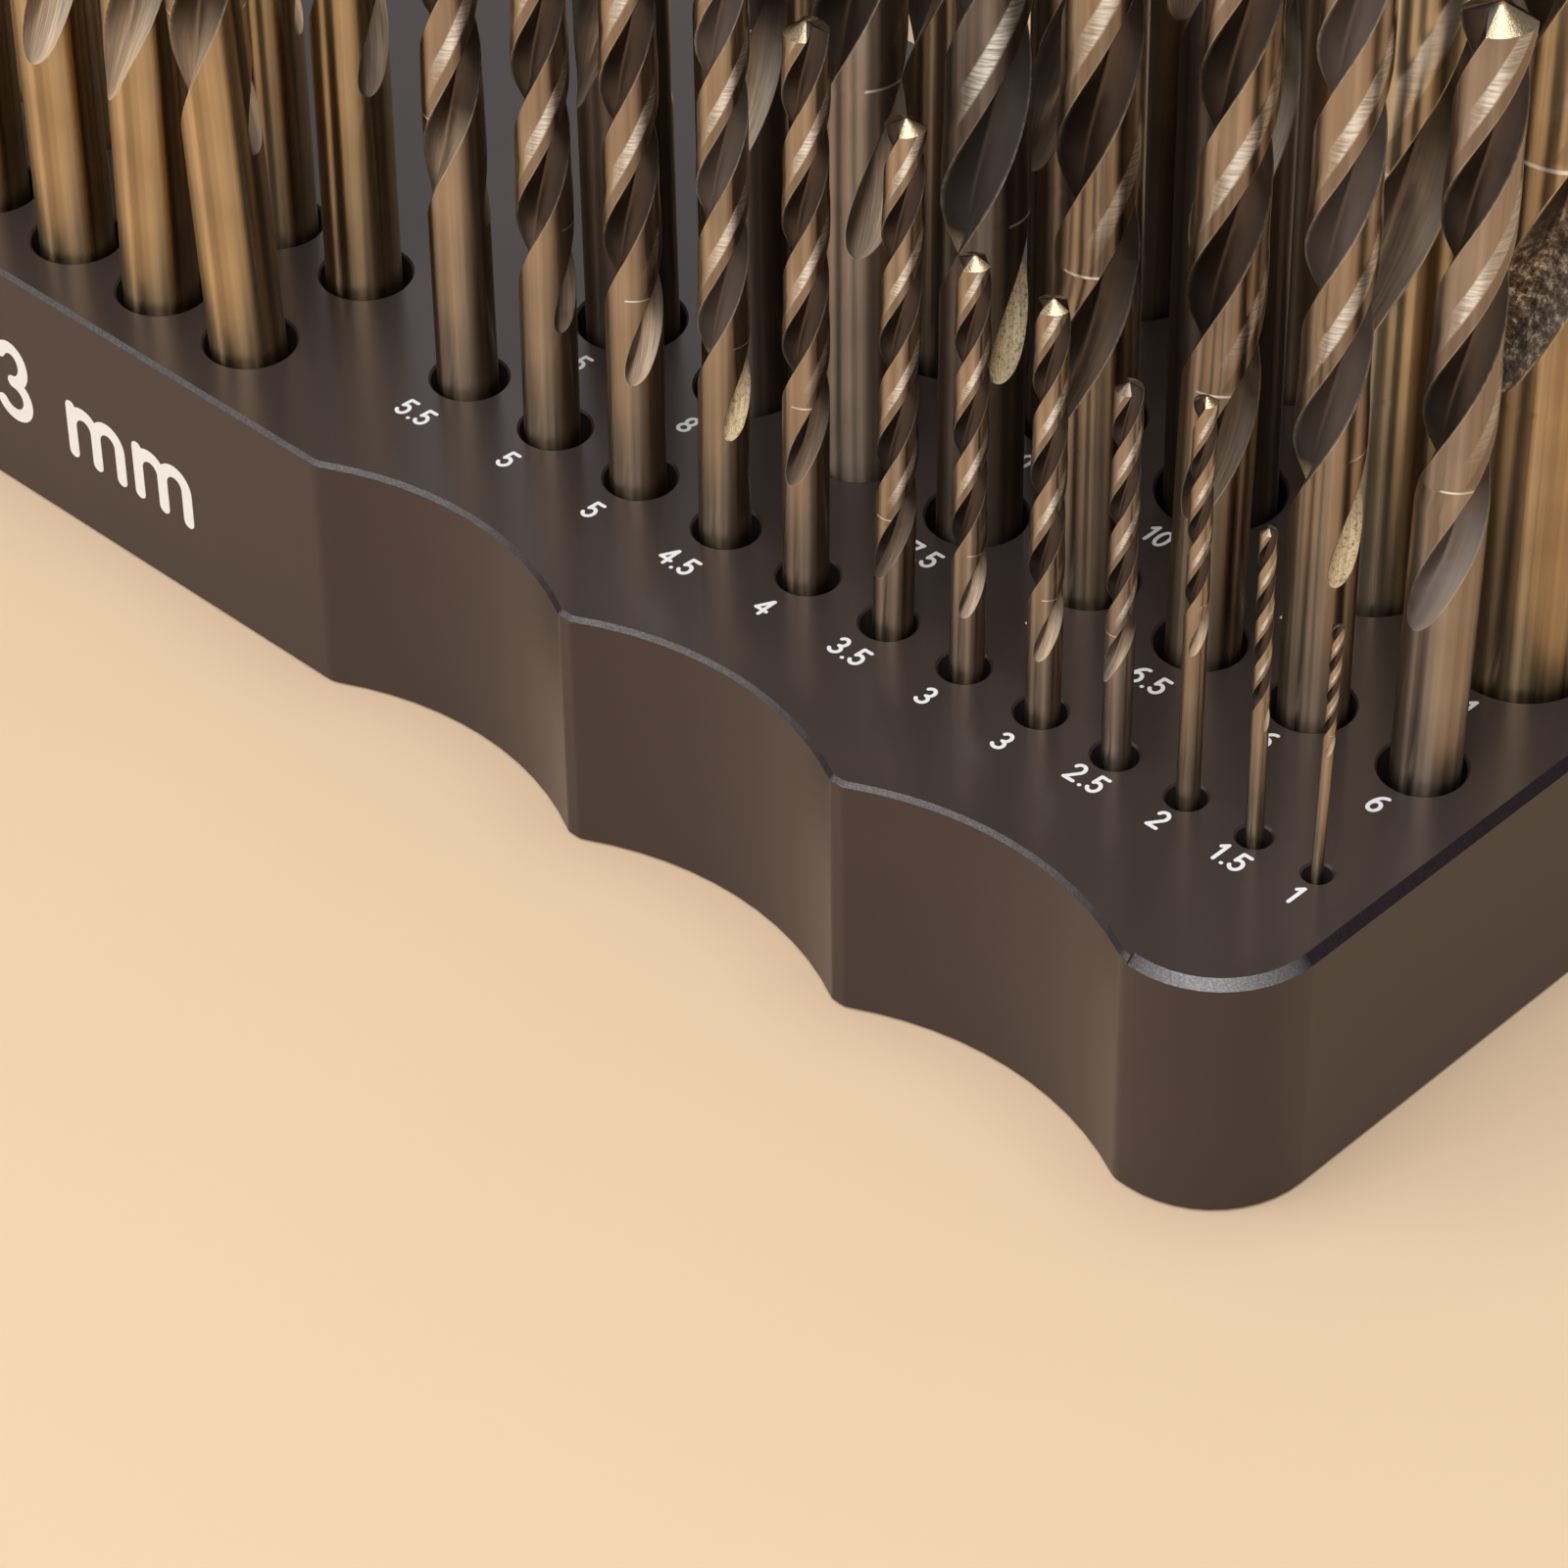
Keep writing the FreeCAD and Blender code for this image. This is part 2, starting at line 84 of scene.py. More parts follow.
CENTRE_SIZE = 7.0
CENTRE_COLUMNS = 5
CENTRE_ROWS = 2
CENTRE_START = (-25.6, -34.1)
CENTRE_STEP = (11.85, 14.25)

VIEW_RIGHT = math.radians(44.5)
VIEW_NEAR = math.radians(-45.5)
RUNOUTS = {
    (0, 0): (12.6, -13), (0, 1): (11.55, 27), (0, 2): (15.5, -21), (0, 3): (8.1, -78),
    (0, 4): (6.4, -25), (0, 5): (6.3, -17), (0, 6): (5.45, -61), (0, 7): (10.8, -43),
    (0, 8): (10.95, 14), (0, 9): (11.7, -4), (0, 10): (11.85, 30), (1, 0): (15.85, -54),
    (1, 1): (14.8, 19), (1, 2): (14.8, -43), (1, 3): (16.3, -82), (1, 4): (16.55, 23),
    (2, 0): (29.2, -66), (2, 1): (22.3, -80),
}
LEANS = {
    (0, 0): (-0.04, 1.3), (0, 1): (0.01, -0.08), (0, 2): (0.12, 0.28), (0, 3): (0.05, 0.31),
    (0, 4): (0.17, 0.34), (0, 5): (0.2, 0.5), (0, 6): (0.38, 1.24), (0, 7): (-0.18, 0.63),
    (0, 8): (-0.13, 0.87), (0, 9): (-0.19, 0.58), (0, 10): (-0.3, 0.67), (0, 11): (-0.14, 0.19),
    (1, 0): (0.26, 1.09), (1, 2): (0.25, 1.11),
}
CENTRE_LEANS = {(4, 0): (-0.21, -1.6), (3, 0): (-0.1, 1.15)}
USUAL_LEAN = 0.6
USUAL_OFFSET = 0.2
GOLDEN_ANGLE = math.radians(137.5)

# Section of a bit, as in the CAD: angles from the heel edge, radii as shares of the radius.
LEAD = 6.2
WEB = 0.34
LAND_RELIEF = 0.05
RUNOUT_LENGTH = 2.0
TWIST_EASE = 0.8
SHANK_CHAMFER = 0.06
POINT_HALF_ANGLE = math.radians(65)
LIP_RELIEF = 0.12
LIP_ANGLE = math.radians(98)
RUNOUT_END = math.radians(161)
HEEL_OPENING = 0.15
TROUGH_SHARE = 0.378
FACE_POWER = 2.3
BACK_POWER = 2.0
# Finer points of the look. A mark is cut round the land some diameters above the run-out's end,
# and the land's relief grows from there over a fade. Lengths here are in diameters.
MARKS = {
    (0, 2): 2.5, (0, 4): 2.14, (0, 5): 2.17, (0, 6): 1.88, (0, 7): 2.06, (0, 9): 1.75,
    (1, 0): 2.42, (1, 2): 2.0, (1, 3): 2.49,
}
USUAL_MARK = 2.1
MARK_THICKNESS = 0.035
MARK_ROWS = (-0.3, 0, 0.5, 1, 1.3)
RELIEF_FADE = 1.5
STEP_FROM = math.radians(45)
MARGIN_WIDTH = (math.radians(7), math.radians(20))
# The step beside the margin carries a painted highlight: STEP_WIDTH is its width across the land,
# and STEP_GLINT the direction its normal faces where the highlight shows.
STEP_WIDTH = 0.15
STEP_GLINT = (0.834, -0.552, 0.0)
EDGE_STRIP = math.radians(1.4)
NARROWEST_FLUTE = 0.0001
GROUND_STEEL, CUT_STEEL, POINT_STEEL = 0, 1, 2

# Columns over a land and over a flute, and rows over the stretches of a bit. Bits below the
# given diameter have half as many.
FINE_BITS_BELOW = 2.2
LAND_COLUMNS = 12
FLUTE_COLUMNS = 9
FLUTE_CROWDING = 1.25
SHANK_ROWS = 5
EASE_ROWS = 6
RUNOUT_ROWS = 18
ROWS_PER_TURN = 30
FEWEST_FLUTE_ROWS = 8
POINT_ROWS = 5

# Bits whose run-out isn't the usual streaked one, and bits whose shade isn't the usual bronze.
POCKETS = {
    (0, 6): "dull", (0, 7): "dull", (0, 8): "coarse", (1, 0): "blue", (1, 1): "coarse",
    (1, 2): "dull", (1, 3): "dull", (1, 4): "coarse", (2, 0): "mottled",
}
DULL_TIPS = (1.0, 1.5, 2.5)
SHADES = {
    (0, 3): "brown", (1, 0): "brown", (1, 4): "dark", (1, 5): "grey", (1, 6): "dark",
    (1, 7): "dark", (2, 0): "golden", (2, 1): "straw", (2, 2): "dark", (3, 1): "grey",
}

# Camera of the photograph: azimuth and elevation seen from the front, roll, focal length in
# pixels of the 1600 pixel frame, and place.
PHOTO_PIXELS = 1600
FOCAL_PIXELS = 6067.68
SENSOR_WIDTH = 36.0
CAMERA_TURNS = (44.534, 40.391, 1.006)
CAMERA_SHIFT = (-24.645, 34.225, 527.713)
CAMERA_ORIGIN = (45.0, -24.5, 25.0)

# Heat-tinted steel, by shade: ground shank and land, the flutes' middle, whose darker tone is
# painted shade, and least roughness.
FINISHES = {
    "bronze": ((0.385, 0.293, 0.208), (0.105, 0.082, 0.070), 0.26),
    "brown": ((0.35, 0.275, 0.215), (0.105, 0.084, 0.075), 0.26),
    "golden": ((0.48, 0.345, 0.20), (0.120, 0.091, 0.069), 0.26),
    "straw": ((0.64, 0.505, 0.325), (0.120, 0.096, 0.074), 0.26),
    "grey": ((0.42, 0.325, 0.245), (0.110, 0.094, 0.085), 0.40),
    "dark": ((0.22, 0.170, 0.135), (0.075, 0.061, 0.054), 0.40),
}
ROUGHNESS_SWING = 0.10
# Places across a flute, from lip to heel, and their share of the middle's tone, both ends first:
# painted shade under the lip and at the heel.
FLUTE_PAINTED_SHADE = ((0.0, 0.50), (1.0, 0.70), (0.18, 0.75), (0.5, 1.0), (0.8, 0.85))
# Run-outs, by kind: tones under the lip edge, in the middle and near the heel edge. Across a
# run-out they paint shade under the lip and a highlight near the heel; in grained run-outs they
# also colour the specks.
POCKET_TONES = {
    "streaked": ((0.22, 0.185, 0.165), (0.50, 0.44, 0.385), (0.80, 0.73, 0.64)),
    "dull": ((0.075, 0.060, 0.053), (0.135, 0.112, 0.100), (0.27, 0.235, 0.205)),
    "blue": ((0.13, 0.118, 0.125), (0.27, 0.265, 0.29), (0.46, 0.44, 0.44)),
    "coarse": ((0.19, 0.140, 0.080), (0.97, 0.72, 0.40), (1.0, 0.92, 0.70)),
    "mottled": ((0.060, 0.044, 0.035), (0.19, 0.145, 0.115), (0.95, 0.87, 0.74)),
}
# Run-outs with a grain: its scale, and the range of its noise that carries the tones.
GRAINS = {"coarse": (3.0, 0.36, 0.60), "mottled": (1.0, 0.38, 0.63)}
MARGIN_BROWN = (0.17, 0.13, 0.105)
# Colour of the painted highlight on the step.
STEP_HIGHLIGHT_TONE = (0.84, 0.78, 0.70)
# Pale tone of the cut mark, partly bare ground steel and partly a painted highlight on its ledge,
# and of the painted highlight along the flutes' edges.
BARE_STEEL_AND_HIGHLIGHT = (0.88, 0.82, 0.72)
# Colour of the painted highlight along the flutes' edges.
FLUTE_EDGE_HIGHLIGHT = (0.62, 0.55, 0.46)
FACET_GOLD = ((0.45, 0.33, 0.19), (0.82, 0.66, 0.43))

# The block's finish. Its chamfers lie outside these lines and above this depth below the top, and
# the holes' broken edges lie inside them.
CHAMFER_SIDE_X = 141.0
CHAMFER_REAR_Y = 38.0
CHAMFER_FRONT_Y = -32.0
CENTRE_FURTHER = 8.0
CHAMFER_DEPTH = 1.2
ANODISED = ((0.058, 0.042, 0.038), (0.068, 0.049, 0.045))
# Chamfer tones: bare aluminium with painted shade along the sides, painted light at the front and
# a painted highlight round the corners.
SIDE_CHAMFER_SHADE = ((0.018, 0.011, 0.014), (0.034, 0.022, 0.027))
FRONT_CHAMFER_LIGHT = ((0.078, 0.072, 0.072), (0.150, 0.140, 0.140))
CORNER_CHAMFER_HIGHLIGHT = ((0.15, 0.145, 0.150), (0.27, 0.265, 0.272))
INK = ((0.86, 0.86, 0.86), (0.94, 0.94, 0.94))

# Printing, in millimetres.
FRONT_PRINT_HEIGHT = 9.0
PRINT_THICKNESS = 0.012
LEVEL_STEP = 0.003
LABEL_HEIGHT = 2.4
LABEL_SHIFT = 0.3
# From the edge of a hole to the middle of its size, by diameter where it was read.
LABEL_GAPS = {
    1.0: 1.95, 1.5: 1.8, 2.0: 1.95, 2.5: 1.85, 3.0: 2.75, 3.5: 2.6, 4.5: 3.2, 5.5: 3.4, 6.0: 2.4,
    8.0: 3.1, 11.0: 2.3,
}
USUAL_LABEL_GAP = 2.9

# Studio, in metres and watts: each lamp's place, width, height and power.
FLOOR_HALF = 4.0
FLOOR_TONE = (0.85, 0.625, 0.42)
FAR_FLOOR_TONE = (0.82, 0.60, 0.41)
FAR_FLOOR = (0.45, 1.2)
WORLD_GREY = (0.80, 0.80, 0.80)
WORLD_STRENGTH = 0.27
LAMP_AIM = (0.08, 0, 0.03)
LAMPS = {
    "key": ((0.47, -0.68, 0.94), 0.85, 1.0, 9.4),
    "fill": ((-0.52, -0.78, 0.72), 0.9, 1.0, 4.8),
    "top": ((0.10, 0.05, 1.25), 0.6, 0.6, 3.6),
    "rear": ((-0.72, 0.81, 1.0), 1.4, 1.2, 1.9),
}


def hole_depth(diameter):
    """Depth of the hole for a bit."""
    return SHALLOW_HOLE if diameter <= SHALLOW_UP_TO else DEEP_HOLE


def usual_pose(count):
    """Run-out angle, offset, lean and its direction for a bit that wasn't read."""
    turn = count * GOLDEN_ANGLE
    return (None, math.degrees(turn) % 360), USUAL_OFFSET, USUAL_LEAN * math.cos(turn), turn


def bit_plan(name, label, diameter, lengths, x, y, runout, offset, lean_degrees,
             lean_towards):
    """Where one bit stands, as in the CAD: foot, axis, and height and turn of its run-out."""
    depth = hole_depth(diameter)
    slope = math.tan(math.radians(lean_degrees))
    side = np.array([math.cos(lean_towards), math.sin(lean_towards), 0.0])
    axis = side * slope + np.array([0.0, 0.0, 1.0])
    rise = FLOOR_GAP + 0.5 * diameter * abs(slope)
    foot = np.array([x, y, BLOCK_TOP - depth + rise]) + side * (offset - slope * (depth - rise))
    length, flute = lengths
    height, angle = runout
    low = length - flute if height is None else height + depth - rise
    return {
        "name": name, "label": label, "diameter": diameter, "length": length, "low": low,
        "spin": VIEW_NEAR + math.radians(angle), "foot": foot, "axis": axis / np.linalg.norm(axis),
        "hole": (x, y), "finish": "bronze", "pocket": "streaked", "mark": USUAL_MARK,
        "slot": "inch_bits",
    }


def numbered(names):
    """Add _a and _b to names that come twice."""
    result = []
    for index, name in enumerate(names):
        if names.count(name) > 1:
            name += ("_a", "_b")[names[:index].count(name)]
        result.append(name)
    return result


def right_group():
    """Plans of the metric bits on the right."""
    sizes = [(row, place, size, x) for row, line in enumerate(RIGHT_ROWS)
             for place, (size, x) in enumerate(line)]
    names = numbered([f"bit_{size:g}mm".replace(".", "_") for row, place, size, x in sizes])
    plans = []
    for count, (row, place, size, x) in enumerate(sizes):
        runout, offset, lean, towards = usual_pose(count)
        runout = RUNOUTS.get((row, place), runout)
        if (row, place) in LEANS:
            offset, lean = LEANS[(row, place)]
            towards = VIEW_RIGHT
        plan = bit_plan(names[count], f"{size:g}", size, METRIC_LENGTHS[size], x, ROW_Y[row],
                        runout, offset, lean, towards)
        plan["pocket"] = POCKETS.get((row, place), "streaked")
        plan["finish"] = SHADES.get((row, place), "bronze")
        plan["slot"] = "metric_bits"
        plan["mark"] = MARKS.get((row, place), USUAL_MARK)
        plans.append(plan)
    return plans


def spread(sizes, first, last):
    """Hole centres from first to last with the same web between neighbouring holes."""
    holes = [size + HOLE_CLEARANCE for size in sizes]
    between = sum(holes) - 0.5 * (holes[0] + holes[-1])
    web = (abs(last - first) - between) / (len(sizes) - 1)
    direction = math.copysign(1, last - first)
    centres = [first]
    for left, right in zip(holes, holes[1:]):
        centres.append(centres[-1] + direction * (0.5 * (left + right) + web))
    return centres


def left_group():
    """Plans of the inch bits on the left."""
    bits = []
    for row, line in enumerate(LEFT_ROWS):
        sizes = [count * INCH / 32 for count in line]
        xs = [x for size, x in RIGHT_ROWS[row]]
        for count, size, x in zip(line, sizes, spread(sizes, -xs[0], -xs[-1])):
            bits.append((row, count, size, x))
    labels = [f"{count // math.gcd(count, 32)}/{32 // math.gcd(count, 32)}"
              for row, count, size, x in bits]
    names = numbered(["bit_" + label.replace("/", "_") + "in" for label in labels])
    plans = []
    for index, (row, count, size, x) in enumerate(bits):
        lengths = [value * INCH for value in INCH_LENGTHS[count]]
        plans.append(bit_plan(names[index], labels[index], size, lengths, x, ROW_Y[row],
                              *usual_pose(index + 5)))
    return plans


def centre_group():
    """Plans of the unlabelled bits in the middle."""
    plans = []
    for row in range(CENTRE_ROWS):
        for column in range(CENTRE_COLUMNS):
            runout, offset, lean, towards = usual_pose(len(plans) + 3)
            if (column, row) in CENTRE_LEANS:
                offset, lean = CENTRE_LEANS[(column, row)]
                towards = VIEW_RIGHT
            plan = bit_plan(
                f"bit_centre_{row + 1}_{column + 1}", "", CENTRE_SIZE,
                METRIC_LENGTHS[CENTRE_SIZE],
                CENTRE_START[0] + column * CENTRE_STEP[0],
                CENTRE_START[1] + row * CENTRE_STEP[1], runout, offset, lean, towards)
            plan["finish"] = "golden"
            plan["slot"] = "centre_bits"
            plans.append(plan)
    return plans


def smooth_step(value):
    """Ease from 0 to 1: 3v^2 - 2v^3 with v held between 0 and 1."""
    value = np.clip(value, 0.0, 1.0)
    return value * value * (3 - 2 * value)


def quarter(value):
    """Height of a quarter circle, sqrt(1 - (1 - v)^2), with v held between 0 and 1."""
    return np.sqrt(1 - (1 - np.clip(value, 0.0, 1.0)) ** 2)


def half_columns(detail):
    """Nominal angles of the columns of one half section, and the index of the lip column.

    They run from the heel edge over the land to the lip, and on through the flute to the next
    heel edge. A close column on each side of both edges lets smooth shading round them off."""
    land = np.linspace(EDGE_STRIP, LIP_ANGLE - EDGE_STRIP, LAND_COLUMNS * detail)
    width = math.pi - LIP_ANGLE
    share = np.linspace(0, 1, FLUTE_COLUMNS * detail + 1)[1:-1] ** FLUTE_CROWDING
    flute = LIP_ANGLE + width * share
    half = np.concatenate([[0], land, [LIP_ANGLE, LIP_ANGLE + EDGE_STRIP], flute,
                           [math.pi - EDGE_STRIP, math.pi]])
    return half, len(land) + 1


def row_heights(plan, detail):
    """Heights of the rows: foot, chamfer, shank, run-out and mark, then the turns of the flute.

    Rows crowd at the rounded lower end of the flutes, as the square of an even count."""
    diameter, low = plan["diameter"], plan["low"]
    top = plan["length"] - 0.5 * diameter / math.tan(POINT_HALF_ANGLE)
    chamfer = SHANK_CHAMFER * diameter
    start = low - TWIST_EASE * diameter
    shank = np.concatenate([[0, chamfer], np.linspace(chamfer, start, SHANK_ROWS)[1:],
                            np.linspace(start, low, EASE_ROWS * detail)[1:]])
    runout = low + RUNOUT_LENGTH * diameter * np.linspace(0, 1, RUNOUT_ROWS * detail) ** 2
    runout = runout[runout < low + diameter * (plan["mark"] - MARK_THICKNESS)]
    mark = low + diameter * (plan["mark"] + MARK_THICKNESS * np.array(MARK_ROWS))
    turns = (top - mark[-1]) / (LEAD * diameter)
    flute_rows = max(FEWEST_FLUTE_ROWS, int(turns * ROWS_PER_TURN * detail))
    flutes = np.linspace(mark[-1], top, flute_rows)[1:]
    return np.concatenate([shank, runout[1:], mark, flutes]), top


def bit_surface(plan, detail):
    """Grid of points over one bit's side, with the heights and columns behind it.

    A point at nominal angle a and height z has the radius R * s(a, z) and the angle
    spin + a' - end + 2 pi t(z) / lead. s is 1 on the shank and the margin, and falls by the
    relief over the step to the rest of the land. In the flute, at share w of its width, s is
    the surface less (surface - WEB) * opening * shape(w): shape is 1 at the trough and falls to
    0 at both edges as a power of the distance, and opening = 1 - (1 - p)^2 grows from 0 to 1
    over the run-out as p does. a' is a, moved so that the flute's edges follow quarter circles
    from its rounded end. t(z) is the height above that end, eased in below it, so the columns
    are straight on the shank."""
    diameter = plan["diameter"]
    radius = 0.5 * diameter
    low = plan["low"]
    heights, top = row_heights(plan, detail)
    half, lip = half_columns(detail)
    nominal = np.concatenate([half[:-1], half[:-1] + math.pi])
    within = np.concatenate([half[:-1], half[:-1]])[None, :]
    in_flute = within >= LIP_ANGLE
    z = heights[:, None]
    above = (z - low) / diameter
    past_mark = above - plan["mark"]

    progress = np.clip(above / RUNOUT_LENGTH, 0, 1)
    open_share = np.maximum(progress, NARROWEST_FLUTE)
    lip_edge = RUNOUT_END - (RUNOUT_END - LIP_ANGLE) * quarter(open_share)
    heel_edge = RUNOUT_END + (math.pi - RUNOUT_END) * quarter(open_share / HEEL_OPENING)
    heel_before = heel_edge - math.pi
    share = (within - LIP_ANGLE) / (math.pi - LIP_ANGLE)
    drawn = np.where(in_flute, lip_edge + share * (heel_edge - lip_edge),
                     heel_before + within / LIP_ANGLE * (lip_edge - heel_before))

    relief = LAND_RELIEF * smooth_step(past_mark / RELIEF_FADE)
    narrow, wide = MARGIN_WIDTH
    margin = LIP_ANGLE - narrow - (wide - narrow) * smooth_step(past_mark)
    step = smooth_step((within - STEP_FROM) / (margin - STEP_FROM))
    surface = 1 - relief * smooth_step(share)
    to_face = np.clip((TROUGH_SHARE - share) / TROUGH_SHARE, 0, 1)
    to_heel = np.clip((share - TROUGH_SHARE) / (1 - TROUGH_SHARE), 0, 1)
    shape = 1 - np.where(share < TROUGH_SHARE, to_face ** FACE_POWER, to_heel ** BACK_POWER)
    opening = 1 - (1 - progress) ** 2
    shares = np.where(in_flute, surface - (surface - WEB) * opening * shape,
                      1 - relief * (1 - step))
    shares[0] = 1 - 2 * SHANK_CHAMFER

    slope = 1 / math.tan(POINT_HALF_ANGLE)
    lip_share = np.where(in_flute, 1 - share, within / LIP_ANGLE)
    end = plan["length"] - radius * shares[-1:] * (slope + LIP_RELIEF * (1 - lip_share))
    raised = np.where(z > low, low + (z - low) * (end - low) / (top - low), z + 0 * within)

    ease = TWIST_EASE * diameter
    eased = np.clip(raised - low + ease, 0, ease)
    twist = np.where(raised >= low, raised - low, 0.5 * (eased ** 2 / ease - ease))
    angle = plan["spin"] + drawn + (nominal - within) - RUNOUT_END + 2 * math.pi * twist / (
        LEAD * diameter)
    reach = radius * shares
    points = np.stack([reach * np.cos(angle), reach * np.sin(angle), raised], -1)
    return points, half, lip, progress[:, 0]


def tip_rows(points, apex, count):
    """Rows from the end of the side to the apex, at even shares of straight lines."""
    rim = points[-1]
    shares = (np.arange(1, count) / count)[:, None, None]
    return rim + (apex - rim) * shares


def lean_points(points, plan):
    """Turn upright points so that +Z becomes the bit's axis, and set them on its foot."""
    turn = Vector((0, 0, 1)).rotation_difference(Vector(plan["axis"])).to_matrix()
    return points @ np.array(turn).T + plan["foot"]


def new_object(name, data):
    """Object of the scene with the given data."""
    thing = bpy.data.objects.new(name, data)
    bpy.context.scene.collection.objects.link(thing)
    return thing


def mesh_from(name, vertices, faces, smooth=True):
    """Object with the given vertices in metres and faces of any size."""
    mesh = bpy.data.meshes.new(name)
    mesh.from_pydata(vertices.tolist(), [], faces)
    mesh.update(calc_edges=True)
    mesh.polygons.foreach_set("use_smooth", np.full(len(mesh.polygons), smooth))
    return new_object(name, mesh)


def bit_grid(row_count, column_count):
    """Row and column of every quad of a bit's side."""
    return np.meshgrid(np.arange(row_count - 1), np.arange(column_count), indexing="ij")


def bit_faces(row_count, column_count):
    """Faces of a bit: quads round its side, a fan over the foot and a fan to the apex."""
    row, column = bit_grid(row_count, column_count)
    following = (column + 1) % column_count
    quads = np.stack([row * column_count + column, row * column_count + following,
                      (row + 1) * column_count + following,
                      (row + 1) * column_count + column], -1)
    foot = row_count * column_count
    ring = np.arange(column_count)
    after = (ring + 1) % column_count
    last = foot - column_count
    foot_fan = np.stack([np.full(column_count, foot), after, ring], -1)
    apex_fan = np.stack([last + ring, last + after, np.full(column_count, foot + 1)], -1)
    return quads.reshape(-1, 4).tolist() + foot_fan.tolist() + apex_fan.tolist()


def keep_on_points(mesh, name, kind, field, values):
    """Attribute with a value or vector for each point of a mesh."""
    attribute = mesh.attributes.new(name, kind, "POINT")
    attribute.data.foreach_set(field, values.ravel().astype(np.float32))


def map_flutes(mesh, plan, rows, half):
    """UV map of a bit: nominal angle over a half section, 0 to 1, and height over the run-out."""
    row_count, column_count = rows.shape[:2]
    row, column = bit_grid(row_count, column_count)
    in_half = np.arange(column_count) % (column_count // 2)
    start_u = half[:-1][in_half] / math.pi
    end_u = half[1:][in_half] / math.pi
    height = (rows[:, 0, 2] - plan["low"]) / plan["diameter"]
    u = np.stack([start_u[column], end_u[column], end_u[column], start_u[column]], -1)
    v = np.stack([height[row], height[row], height[row + 1], height[row + 1]], -1)
    fan_u = np.stack([start_u, end_u, 0.5 * (start_u + end_u)], -1)
    foot_uv = np.stack([0 * fan_u, np.full(fan_u.shape, height[0])], -1)
    apex_uv = np.stack([fan_u, np.full(fan_u.shape, height[-1])], -1)
    loops = np.concatenate([part.reshape(-1, 2)
                            for part in (np.stack([u, v], -1), foot_uv, apex_uv)])
    uv_map = mesh.uv_layers.new(name="flute_map")
    uv_map.data.foreach_set("uv", loops.ravel().astype(np.float32))


def assign_steels(mesh, shape, side_rows, lip, progress):
    """Ground steel on shank and land, cut steel in the flutes, point steel on the facets."""
    row, column = bit_grid(*shape)
    column_count = shape[1]
    first_cut = int(np.argmax(progress > 0)) - 1
    is_cut = np.arange(column_count) % (column_count // 2) >= lip
    quad_cut = is_cut[column] & (row >= first_cut)
    land = np.where(row >= side_rows - 1, POINT_STEEL, GROUND_STEEL)
    kinds = np.concatenate([np.where(quad_cut, CUT_STEEL, land).ravel(),
                            np.full(column_count, GROUND_STEEL),
                            np.where(is_cut, CUT_STEEL, POINT_STEEL)])
    mesh.polygons.foreach_set("material_index", kinds.astype(np.int32))


def sharpen_rims(mesh, column_count, sharp_rows):
    """Sharp edges along whole rows of a bit's side."""
    ends = np.empty(len(mesh.edges) * 2, dtype=np.int32)
    mesh.edges.foreach_get("vertices", ends)
    edge_row = ends.reshape(-1, 2) // column_count
    rim = (edge_row[:, 0] == edge_row[:, 1]) & np.isin(edge_row[:, 0], sharp_rows)
    sharp = mesh.attributes.new("sharp_edge", "BOOLEAN", "EDGE")
    sharp.data.foreach_set("value", rim)


def make_bit(plan, detail):
    """One bit: the side grid, the point's rows and apex, and a flat foot, as one closed mesh.

    The attribute blank holds each point's place on the upright bit, in mm, and past_mark its
    height in diameters above the mark."""
    side, half, lip, progress = bit_surface(plan, detail)
    apex = np.array([0.0, 0.0, plan["length"]])
    rows = np.concatenate([side, tip_rows(side, apex, POINT_ROWS)])
    shape = rows.shape[:2]
    upright = np.concatenate([rows.reshape(-1, 3), [[0, 0, 0]], [apex]])
    thing = mesh_from(plan["name"] + "_ground", lean_points(upright, plan) * MM,
                      bit_faces(*shape))
    mesh = thing.data
    past_mark = (upright[:, 2] - plan["low"]) / plan["diameter"] - plan["mark"]
    keep_on_points(mesh, "blank", "FLOAT_VECTOR", "vector", upright)
    keep_on_points(mesh, "past_mark", "FLOAT", "value", past_mark)
    map_flutes(mesh, plan, rows, half)
    assign_steels(mesh, shape, len(side), lip, progress)
    sharpen_rims(mesh, shape[1], (0, 1, len(side) - 1))
    return thing


def colour(red, green, blue):
    """Linear colour with full alpha."""
    return (red, green, blue, 1.0)


